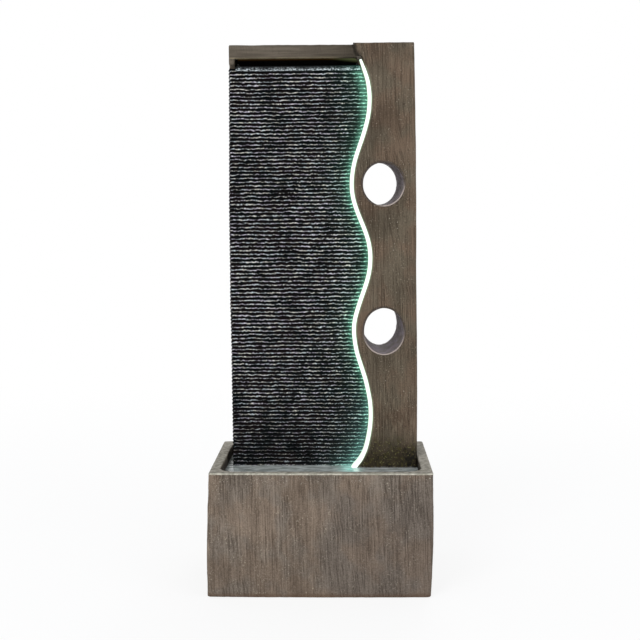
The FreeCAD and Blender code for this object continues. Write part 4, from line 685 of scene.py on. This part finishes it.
# The windows' tubes are a smoother violet grey. Towards the rear they narrow, lift and shift left. A
# row holds a window's name, its middle, its half width and height, and where its lip is worn and
# carries a painted highlight: the angle, and the half range, in degrees.
windows = (
    ("upper", 0.1095, 0.683, 0.03605, 0.03785, -55, 42),
    ("lower", 0.1099, 0.4278, 0.03545, 0.0407, -88, 62),
)
violet = resin.patches(0.35, 0.65, (0.012, 0.02, 0.012), 3)
violet = resin.mix(violet, paint(120, 112, 108), paint(138, 128, 134))
column_face, tube_depth, tube_shift, tube_lift, tube_narrowing = -0.007, 0.108, 0.005, 0.0055, 0.00325
tube_wall = 0.0019
way_through = (tower_back - column_face) / tube_depth
for _, middle_x, middle_z, half_wide, half_tall, _, _ in windows:
    from_side = tower_across - middle_x + way_through * tube_shift
    from_side = from_side / (half_wide + tube_wall - way_through * tube_narrowing)
    from_level = (height - middle_z - way_through * tube_lift) / (half_tall + tube_wall)
    bore = resin.step(from_side * from_side + from_level * from_level, 1.0, 0.99)
    bore = bore * resin.step(tower_back, -0.0062, -0.0060)
    bore = bore * resin.step(tower_back, 0.1006, 0.1004)
    colour = resin.mix(bore, colour, violet)
lamp_green = resin.mix(resin.painted("glow"), unlit, (0.12, 0.16, 0.11, 1))
resin.vary(Base_Color=colour, Emission_Color=lamp_green, Emission_Strength=1.0)
resin.on(tower)
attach(tower, "root")
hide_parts("tower_shell")

# Each window's lip is lighter at its lower right, where it is worn and where a painted highlight lies on its
# rounded edge.
lip_wear_and_highlight = Finish("lip_wear_and_highlight", Specular_IOR_Level=0.3)
rubbed_and_highlit = lip_wear_and_highlight.painted("worn") * (lip_wear_and_highlight.noise((0.004, 0.004, 0.004), 3) * 0.8 + 0.6)
rubbed_and_highlit = lip_wear_and_highlight.step(rubbed_and_highlit, 0.0, 1.0)
lip_wear_and_highlight.vary(Base_Color=lip_wear_and_highlight.mix(rubbed_and_highlit, paint(74, 64, 53), paint(182, 168, 160)),
              Roughness=lip_wear_and_highlight.noise(0.003, 2) * 0.2 + 0.5)
for name, middle_x, middle_z, half_wide, half_tall, worn_lit_at, worn_lit_half in windows:
    window_lip = oval_tube(f"window_lip_{name}", (middle_x, -0.0064, middle_z), half_wide + 0.0002,
                           half_tall + 0.0002, 0.0010, 0.009, 16)
    from_worn = (np.arange(240) * 1.5 - worn_lit_at + 180) % 360 - 180
    give_number(window_lip, "worn", np.repeat(np.clip(1.6 - np.abs(from_worn) / worn_lit_half, 0, 1), 12))
    lip_wear_and_highlight.on(window_lip)
    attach(window_lip, "root")


# Water wall
# A cast facing of rounded ridges, one about every 6.5 mm, each carved a little unevenly. It is black
# and wet, a painted highlight in silver lies on the ridges' lower lips, and the strip lights its right edge.
facing_low, facing_top = 0.045, 0.8862
ridge_face, ridge_height, facing_back = 0.0125, 0.003, 0.0205
facing_left, facing_gap = -0.158, 0.00405
under_water, coarse_row, fine_row = 0.165, 0.0022, 0.00064
ridge_pitch, wider_pitch = 0.00644, 0.00034
fine_levels = np.linspace(facing_low, facing_top, 4001)
pitch_there = ridge_pitch + wider_pitch * np.exp(-((fine_levels - 0.535) / 0.125) ** 4)
phase_there = np.concatenate([[0], np.cumsum(np.diff(fine_levels) / pitch_there[1:])])
phase_there += 1 - phase_there[-1] % 1
across = np.linspace(0, 1, 182)


def over_skin(number_there):
    """The numbers of a facing's front, then 0 for its two back points in each row and its two ends."""
    return np.append(np.pad(number_there, ((0, 0), (0, 2))).ravel(), [0, 0])


facings = []
for number, (low, high) in enumerate(((facing_low, 0.330), (0.330, 0.610), (0.610, facing_top))):
    fine_from = max(low, under_water)
    rows = np.concatenate([
        np.arange(low, fine_from, coarse_row),
        np.linspace(fine_from, high, round((high - fine_from) / fine_row))])
    level = np.broadcast_to(rows[:, None], (len(rows), len(across)))
    right = wave(rows)[:, None] - facing_gap
    x = facing_left + (right - facing_left) * across
    spot = np.stack([x, np.zeros_like(x), level], axis=-1)
    x = x - np.interp(level, lean_levels, left_lean) * (1 - across) ** 12
    wobble = 0.09 * noise(spot * (1, 1, 0.8), 0.024, 21) + 0.09 * noise(spot, 0.0068, 22)
    wobble += 0.15 * noise(spot, 0.0030, 23)
    turn = (np.interp(level, fine_levels, phase_there) + wobble) % 1
    ridge = np.sin(math.pi * turn**0.82) ** 0.75
    worn = 0.0005 * noise(spot, 0.009, 24) + 0.0004 * noise(spot, 0.0035, 25)
    y = ridge_face + ridge_height * (1 - ridge) + worn
    x = x + 0.0015 * (1 - ridge) * (across < 0.002)
    front = np.stack([x, y, level], axis=-1)
    all_back = np.full(len(rows), facing_back)
    back = np.stack([
        np.stack([right[:, 0], all_back, rows], axis=-1),
        np.stack([np.full(len(rows), facing_left + 0.0006), all_back, rows], axis=-1)], axis=1)
    ends = np.array([[-0.04, 0.019, rows[0]], [-0.04, 0.019, rows[-1]]])
    facing = skin(f"water_wall_{number}", np.concatenate([front, back], axis=1), ends)

    # The shine is a painted highlight along each ridge's lower lip.
    beads = noise(spot, (0.0020, 1, 0.0032), 26)
    flow = 0.5 + 0.5 * noise(spot, (0.011, 1, 0.016), 27)
    streak = noise(spot, (0.020, 1, 0.09), 28)
    line_width = (0.085 + 0.04 * flow) * np.interp(level, (0.35, 0.6, 0.85), (1.14, 1.12, 1))
    line = np.exp(-((turn - 0.32) / line_width) ** 2)
    shine = line * np.clip(0.62 + 0.38 * beads + 0.32 * (flow - 0.5) + 0.10 * streak, 0, 1.3)
    shine *= np.interp(level, (0.18, 0.25, 0.31, 0.36, 0.6, 0.85, 0.875),
                       (0.84, 0.78, 1.0, 1.16, 1.08, 1, 1.14))
    shine *= 1 - 0.26 * np.exp(-((x - 0.022) / 0.05) ** 2 - ((level - 0.765) / 0.065) ** 2)
    shine *= 1 - 0.32 * np.exp(-((x + 0.062) / 0.065) ** 4 - ((level - 0.215) / 0.034) ** 2)
    shine *= np.clip(across / 0.009, 0.15, 1)
    give_number(facing, "shine", over_skin(np.clip(shine, 0, 1)))
    away = wave(level) - facing_gap - x
    spread = 0.60 * np.exp(-away / 0.020) + 0.43 * np.exp(-away / 0.0060)
    spread *= np.interp(level, (0.19, 0.26, 0.34, 0.7, 0.78, 0.85), (1.5, 1.2, 0.9, 0.95, 1.15, 1.7))
    spread += 0.22 * np.exp(-(np.maximum(away - 0.004, 0) / 0.035) ** 2 - ((level - 0.2) / 0.045) ** 2)
    give_number(facing, "glow", over_skin(np.minimum(spread, 1)))
    facings.append(facing)

# The ridges' silver lines are painted highlights, teal near the strip.
slate = Finish("facing_slate", Specular_IOR_Level=0.04, Emission_Strength=1.0)
crumbly = slate.patches(0.38, 0.60, (0.0019, 0.0019, 0.0016), 3, 0.7)
ridge_highlight = slate.painted("shine") * (crumbly * 1.15 + 0.32)
damp = slate.patches(0.38, 0.62, (0.03, 0.03, 0.02), 3)
grain = slate.noise(0.0018, 3, 0.6)
dark = slate.mix(damp, paint(2, 6, 7), paint(13, 8, 9))
cold = slate.patches(0.42, 0.58, (0.012, 0.012, 0.006), 2)
lilac = slate.patches(0.50, 0.62, (0.016, 0.016, 0.008), 2, 0.5, 9)
highlight_colour = slate.mix(lilac, slate.mix(cold, paint(244, 240, 230), paint(218, 228, 234)), paint(228, 221, 236))
lit = slate.painted("glow")
highlight_colour = slate.mix(slate.step(lit, 0.05, 0.7), highlight_colour, paint(172, 224, 206))
slate.vary(Base_Color=slate.mix(slate.step(ridge_highlight, 0.0, 1.0), dark, highlight_colour), Roughness=grain * 0.25 + 0.45,
           Normal=slate.bump(grain, 0.0006))
bluer = slate.step(slate.along("Z") + (slate.noise(0.03, 2) - 0.5) * 0.12, 0.345, 0.255)
lamp_light = slate.mix(bluer, (0.27, 0.66, 0.50, 1), (0.50, 1.0, 0.93, 1))
teal = slate.mix(ridge_highlight * 0.93 + 0.07, unlit, lamp_light)
veil = slate.mix(slate.step(lit, 0.35, 1.05), unlit,
                 slate.mix(bluer, (0.05, 0.15, 0.10, 1), (0.014, 0.05, 0.04, 1)))
slate.vary(Emission_Color=slate.mix(1.0, slate.mix(lit, unlit, teal), veil, "ADD"))
slate.on(*facings)
for facing in facings:
    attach(facing, "root")
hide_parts("ripple_wall")


# Light strip
# A flexible lamp tape with small white lamps, inside a milky silicone sleeve that is pressed into a
# rebate along the wavy line. The sleeve glows evenly, a little green at its edges.
sleeve_foot, sleeve_top, sleeve_back_y = 0.144, 0.9009, 0.0099
sleeve_half, dome_from, dome_height = 0.0035, -0.0005, 0.0034
sleeve_levels = np.linspace(sleeve_foot, sleeve_top, 520)
sleeve_line = wave(sleeve_levels)
slant = np.hypot(1, np.gradient(sleeve_line, sleeve_levels))
half_width = sleeve_half * slant * np.interp(
    sleeve_levels, (sleeve_foot, 0.187, 0.2, 0.21, 0.225, 0.84, 0.88, sleeve_top),
    (1.3, 1.3, 1.18, 1.0, 0.97, 0.97, 0.78, 0.48))
around = np.linspace(-math.pi / 2, math.pi / 2, 25)
dome = np.sign(np.sin(around)) * np.abs(np.sin(around)) ** 0.9
sleeve_front = np.stack(np.broadcast_arrays(
    sleeve_line[:, None] + half_width[:, None] * dome,
    dome_from - dome_height * np.cos(around) ** 0.8,
    sleeve_levels[:, None]), axis=-1)
sleeve_back = sleeve_front[:, [-1, 0]].copy()
sleeve_back[..., 1] = sleeve_back_y
sleeve = skin("light_sleeve_lit", np.concatenate([sleeve_front, sleeve_back], axis=1))
give_number(sleeve, "core", over_skin(np.tile(1 - np.abs(dome) ** 4, (520, 1))))
green_edge, white_core = (0.72, 0.90, 0.70, 1), (0.98, 1.0, 0.97, 1)
silicone = Finish("lit_silicone", Roughness=0.4, Emission_Strength=1.1, Base_Color=(0.3, 0.5, 0.4, 1))
silicone.vary(Emission_Color=silicone.mix(silicone.painted("core"), green_edge, white_core))
silicone.on(sleeve)
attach(sleeve, "root")
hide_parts("light_sleeve")
cap = Finish("cap_silicone", Roughness=0.5, Specular_IOR_Level=0.3)
cap.vary(Base_Color=cap.mix(cap.noise(0.003, 2), paint(52, 47, 40), paint(74, 68, 58)))
cap.on("light_caps")
board = Finish("tape_board", Roughness=0.35)
joint = board.patches(0.6, 0.7, 0.004, 1)
board.vary(Base_Color=board.mix(joint, paint(226, 226, 222), paint(190, 150, 90)))
board.on("light_tape")
chips = Finish("lamp_chips", Roughness=0.3, Emission_Strength=3.0)
chips.vary(Base_Color=chips.mix(chips.noise(0.001, 1), paint(245, 240, 180), paint(235, 225, 150)),
           Emission_Color=chips.mix(chips.noise(0.002, 1), (0.9, 1.0, 0.95, 1), (1.0, 1.0, 0.95, 1)))
chips.on("light_chips")


# Water
# The pool in the basin, its surface rippled by the water that runs down the wall, and a painted
# reflection of the strip's light in the water where the strip meets it.
pool_level, pool_under, pool_gap = 0.1868, 0.170, 0.0002
shrink_under, shrink_over = np.linspace(0.05, 1, 12), np.linspace(1, 0.02, 120)
shrink = np.concatenate([shrink_under, shrink_over])
pool_rings = cavity_rings(
    (cavity_half[0] - pool_gap) * shrink, (cavity_half[1] - pool_gap) * shrink,
    (cavity_corner - pool_gap) * shrink,
    np.repeat((pool_under, pool_level), (len(shrink_under), len(shrink_over))))
surface = pool_rings[len(shrink_under):]
from_wall = np.maximum(0.012 - surface[..., 1], 0)
lap = 0.0010 * np.sin(from_wall / 0.0021 + 1.4 * noise(surface, 0.03, 41)) * np.exp(-from_wall / 0.05)
level_surface = surface * (1, 2, 0)
waves = 0.0005 * noise(level_surface, 0.022, 42) + 0.0002 * noise(level_surface, 0.008, 43)
surface[..., 2] += 0.3 * lap + waves
pool = skin("pool_water", pool_rings)
pool_points = points_of(pool)
# A painted reflection of the strip's light in the water by the strip's foot.
strip_reflection = np.exp(-((pool_points[:, 0] - 0.050) / 0.014) ** 2)
strip_reflection *= np.exp(-np.abs(pool_points[:, 1] + 0.012) / 0.035)
give_number(pool, "glow", strip_reflection * (0.6 + 0.4 * noise(pool_points, (0.008, 0.003, 1), 44)))

# The film in the slot runs off the trough and over the facing's top edge: its section in millimetres,
# as y and z, is carried from the left cheek to the light strip.
film_section = 0.001 * np.array((
    (33, 889.4), (26, 889.7), (19, 889.9), (15, 889.9), (13, 889.6), (12, 888.8), (11.4, 887.4),
    (11.2, 885.6), (11.3, 883.6), (11.6, 881.8), (12.2, 880.2), (13.4, 879.2), (14.6, 879.8), (13.6, 881.6),
    (13, 884.5), (13, 887.2), (14.4, 888.9), (24, 889), (33, 888.9)))
film_left, film_right = -0.1462, wave(film_section[:, 1]) - 0.0046
film = np.stack(np.broadcast_arrays(
    film_left + (film_right - film_left) * np.linspace(0, 1, 260)[:, None],
    film_section[:, 0], film_section[:, 1]), axis=-1)
film[..., 1] += 0.0005 * noise(film, 0.0042, 48)
film[..., 2] += 0.0007 * noise(film, (0.0045, 1, 1), 49) * (film[..., 2] < 0.8885)
spill = skin("spill_film", film[:, ::-1])
spill_points = points_of(spill)
spill_x, spill_y, spill_z = spill_points.T
foam = 0.62 * np.exp(-((spill_z - 0.8824) / 0.0011) ** 2)
foam += np.exp(-((spill_z - 0.8855) / 0.0026) ** 2) * (0.22 + 0.10 * noise(spill_points, (0.012, 1, 1), 52))
give_number(spill, "foam", np.clip(foam * (spill_y < 0.0135), 0, 1))
give_number(spill, "glow", np.exp(-(wave(spill_z) - spill_x) / 0.02))
film_water = Finish("spill_film", Specular_IOR_Level=0.1, Roughness=0.3, Emission_Strength=1.0)
flecks = film_water.patches(0.38, 0.70, (0.0024, 0.0024, 0.0017), 3, 0.6)
foamy = film_water.painted("foam") * (flecks * 2.2 + 0.14)
lit_share = film_water.painted("glow") * (foamy * 0.9 + 0.1)
film_water.vary(
    Base_Color=film_water.mix(film_water.step(foamy, 0.05, 0.95), paint(6, 10, 12), paint(218, 228, 232)),
    Emission_Color=film_water.mix(lit_share, unlit, (0.12, 0.5, 0.38, 1)))
film_water.on(spill)
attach(spill, "root")
water = Finish("pool_water", Specular_IOR_Level=0.6, Roughness=0.06, Emission_Strength=1.0)
ripple = water.noise((0.020, 0.008, 0.02), 3)
water.vary(Base_Color=water.mix(water.step(ripple, 0.35, 0.65), paint(146, 152, 149), paint(194, 200, 199)),
           Normal=water.bump(ripple, 0.0010),
           Emission_Color=water.mix(water.painted("glow"), unlit, (0.16, 0.62, 0.52, 1)))
water.on(pool)
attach(pool, "root")


# Rear panel and door
# A flat resin sheet screwed over the tower's back, with a hinged door in it for the pump. Steel
# pins, screws and catch, brass inserts, a ferrite magnet.
resin, colour = cast_resin(
    "panel_resin", paint(70, 60, 48), paint(120, 108, 94), (1.0, 0.97, 0.93, 1), (0.98, 1.0, 1.02, 1),
    1.1, -6)
panel_x, panel_y, panel_z = (resin.along(axis) for axis in "XYZ")
# The panel's inner face is dark as damp resin and as painted shade inside the hollow.
inner_side = resin.step(panel_y, 0.0992, 0.0978)

# Through the slot one sees the panel's inner face, where the strip's light leaks amber and olive.
amber = resin.step(panel_z, 0.9125, 0.9185) * resin.step(panel_x, 0.055, 0.02)
olive = resin.step(panel_z + panel_x * 0.12, 0.9150, 0.9245) * resin.step(panel_x, 0.0, 0.045)
leak = resin.mix(amber, unlit, (0.045, 0.020, 0.003, 1))
leak = resin.mix(olive, leak, (0.075, 0.085, 0.036, 1))
resin.vary(Base_Color=resin.mix(inner_side, colour, paint(22, 20, 18)),
           Emission_Color=resin.mix(inner_side, unlit, leak), Emission_Strength=1.0)
resin.on("back_panel", "access_door")

# A bead of sealant runs round the panel, and one round the rear end of each window's tube.
bead_line = round_oblong(0.1553, 0.4518, 0.003, 0, 0, (160, 420, 6))[0]
bead_path = np.stack([bead_line[:, 0] + 0.0035, np.full(len(bead_line), 0.0996), bead_line[:, 1] + 0.469], -1)
bead_path += 0.0003 * noise(bead_path, 0.011, 51)[:, None]
after_point = np.roll(bead_path, -1, axis=0) - np.roll(bead_path, 1, axis=0)
bead_in = np.cross(after_point / np.linalg.norm(after_point, axis=1)[:, None], (0, 1, 0))
bead = closed_tube("panel_sealant", bead_path, bead_in, 0.0014)
sealant = Finish("sealant", Specular_IOR_Level=0.35)
skinned = sealant.noise(0.006, 3)
sealant.vary(Base_Color=sealant.mix(skinned, paint(58, 52, 45), paint(84, 77, 68)),
             Roughness=skinned * 0.2 + 0.45, Normal=sealant.bump(skinned, 0.0003))
sealant.on(bead)
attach(bead, "root")
for name, middle_x, middle_z, half_wide, half_tall, _, _ in windows:
    seal_centre = (middle_x - tube_shift, 0.1003, middle_z + tube_lift)
    window_seal = oval_tube(f"window_seal_{name}", seal_centre, half_wide + 0.0019, half_tall + 0.0051,
                            0.0013, 0.011, 53)
    sealant.on(window_seal)
    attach(window_seal, "root")


def bare_metal(name, tone, rough, brush):
    """Bright metal with fine brushed lines and a few darker stains."""
    made = Finish(name, Metallic=1.0)
    lines = made.noise(brush, 2)
    stain = made.patches(0.5, 0.75, 0.008, 3)
    deep = tuple(part * 0.55 for part in paint(*tone)[:3]) + (1,)
    made.vary(Base_Color=made.mix(stain * 0.5, paint(*tone), deep), Roughness=lines * 0.2 + rough,
              Normal=made.bump(lines, 0.00005))
    return made


bare_metal("screw_steel", (196, 197, 199), 0.24, 0.0006).on(
    "panel_screws", "volute_screws", "junction_screws", "hinge_pins")
bare_metal("sheet_steel", (188, 190, 192), 0.3, (0.004, 0.0004, 0.0004)).on("door_strike", "hose_clamps")
bare_metal("insert_brass", (206, 170, 98), 0.32, 0.0005).on("threaded_inserts")


def fired(name, dark, light, rough):
    """Pressed and fired ceramic or ferrite: very fine grain, small chips at random."""
    made = Finish(name, Specular_IOR_Level=0.45)
    grain = made.noise(0.0009, 3, 0.6)
    chip = made.patches(0.68, 0.74, 0.003, 2)
    made.vary(Base_Color=made.mix(made.step(grain + chip * 0.3, 0.3, 0.9), paint(*dark), paint(*light)),
              Roughness=chip * 0.3 + rough, Normal=made.bump(grain, 0.00008))
    return made


fired("ferrite", (44, 44, 47), (74, 74, 78), 0.42).on("door_magnet", "rotor_magnet")
fired("shaft_ceramic", (222, 219, 210), (240, 238, 231), 0.22).on("impeller_shaft")
fired("bush_ceramic", (208, 204, 192), (226, 222, 214), 0.3).on("shaft_bushes")


# Pump, trough and boxes
# Injection moulded parts: the trough at the top, the pump in the sump and the junction box. Black
# and grey plastic with the fine texture of the mould, lime marks where water runs over them.
def moulded_plastic(name, tone, rough, lime=0.0):
    """Moulded plastic: spark-eroded grain, faint flow clouds and pale lime below drips."""
    made = Finish(name, Specular_IOR_Level=0.4)
    grain = made.noise(0.0006, 2, 0.6)
    flow = made.patches(0.3, 0.7, 0.03, 2)
    lighter = tuple(min(part * 1.35 + 0.004, 1) for part in paint(*tone)[:3]) + (1,)
    colour = made.mix(flow, paint(*tone), lighter)
    if lime:
        mark = made.patches(0.52, 0.72, (0.006, 0.006, 0.03), 3, 0.6)
        colour = made.mix(mark * lime, colour, paint(150, 148, 138))
    made.vary(Base_Color=colour, Roughness=grain * 0.2 + rough, Normal=made.bump(grain, 0.00006))
    return made


moulded_plastic("trough_plastic", (38, 38, 40), 0.4, 0.5).on("spill_trough")
moulded_plastic("housing_plastic", (30, 31, 33), 0.38, 0.3).on("motor_housing", "pump_volute")
moulded_plastic("cover_plastic", (34, 35, 37), 0.42, 0.3).on("intake_cover")
moulded_plastic("impeller_plastic", (52, 56, 60), 0.3).on("impeller")
moulded_plastic("dial_plastic", (92, 98, 102), 0.3).on("flow_dial")
moulded_plastic("box_plastic", (58, 60, 62), 0.45).on("junction_box", "junction_lid")
moulded_plastic("gland_plastic", (26, 26, 27), 0.36).on("cord_gland", "gland_nut", "lead_clips")
moulded_plastic("terminal_plastic", (214, 210, 198), 0.4).on("terminal_block")
moulded_plastic("lead_jacket", (24, 24, 25), 0.45).on("pump_lead")
moulded_plastic("light_jacket", (205, 205, 200), 0.45).on("light_lead")

# The pump's iron core and copper coil, its foam filter, and the clear hose up to the trough.
iron = Finish("core_iron", Metallic=1.0)
sheets = iron.node("ShaderNodeTexWave", {"bands_direction": "X"}, {
    "Vector": iron.place, "Scale": 320, "Distortion": 0.4}, "Fac")
iron.vary(Base_Color=iron.mix(sheets, paint(70, 70, 74), paint(128, 128, 132)),
          Roughness=sheets * 0.2 + 0.4, Normal=iron.bump(sheets, 0.0002))
iron.on("stator_core")
winding = Finish("coil_copper", Metallic=0.85, Coat_Weight=0.6)
turns = winding.node("ShaderNodeTexWave", {"bands_direction": "X"}, {
    "Vector": winding.place, "Scale": 420, "Distortion": 1.2, "Detail": 1}, "Fac")
winding.vary(Base_Color=winding.mix(turns, paint(96, 44, 20), paint(196, 108, 58)),
             Roughness=turns * 0.15 + 0.25, Normal=winding.bump(turns, 0.0002))
winding.on("stator_coil")
sponge = Finish("filter_foam", Specular_IOR_Level=0.2, Roughness=0.9)
cells = sponge.node("ShaderNodeTexVoronoi", {"feature": "DISTANCE_TO_EDGE"}, {
    "Vector": sponge.place, "Scale": 620}, "Distance")
pores = sponge.step(cells, 0.05, 0.3)
sponge.vary(Base_Color=sponge.mix(pores, paint(52, 54, 58), paint(12, 12, 14)),
            Normal=sponge.bump(1 - pores, 0.0008))
sponge.on("filter_sponge")
vinyl = Finish("clear_hose", Roughness=0.12, Transmission_Weight=0.75, IOR=1.4)
haze = vinyl.noise((0.02, 0.02, 0.05), 3)
vinyl.vary(Base_Color=vinyl.mix(haze, paint(214, 222, 220), paint(188, 200, 192)),
           Normal=vinyl.bump(haze, 0.0004))
vinyl.on("riser_hose")
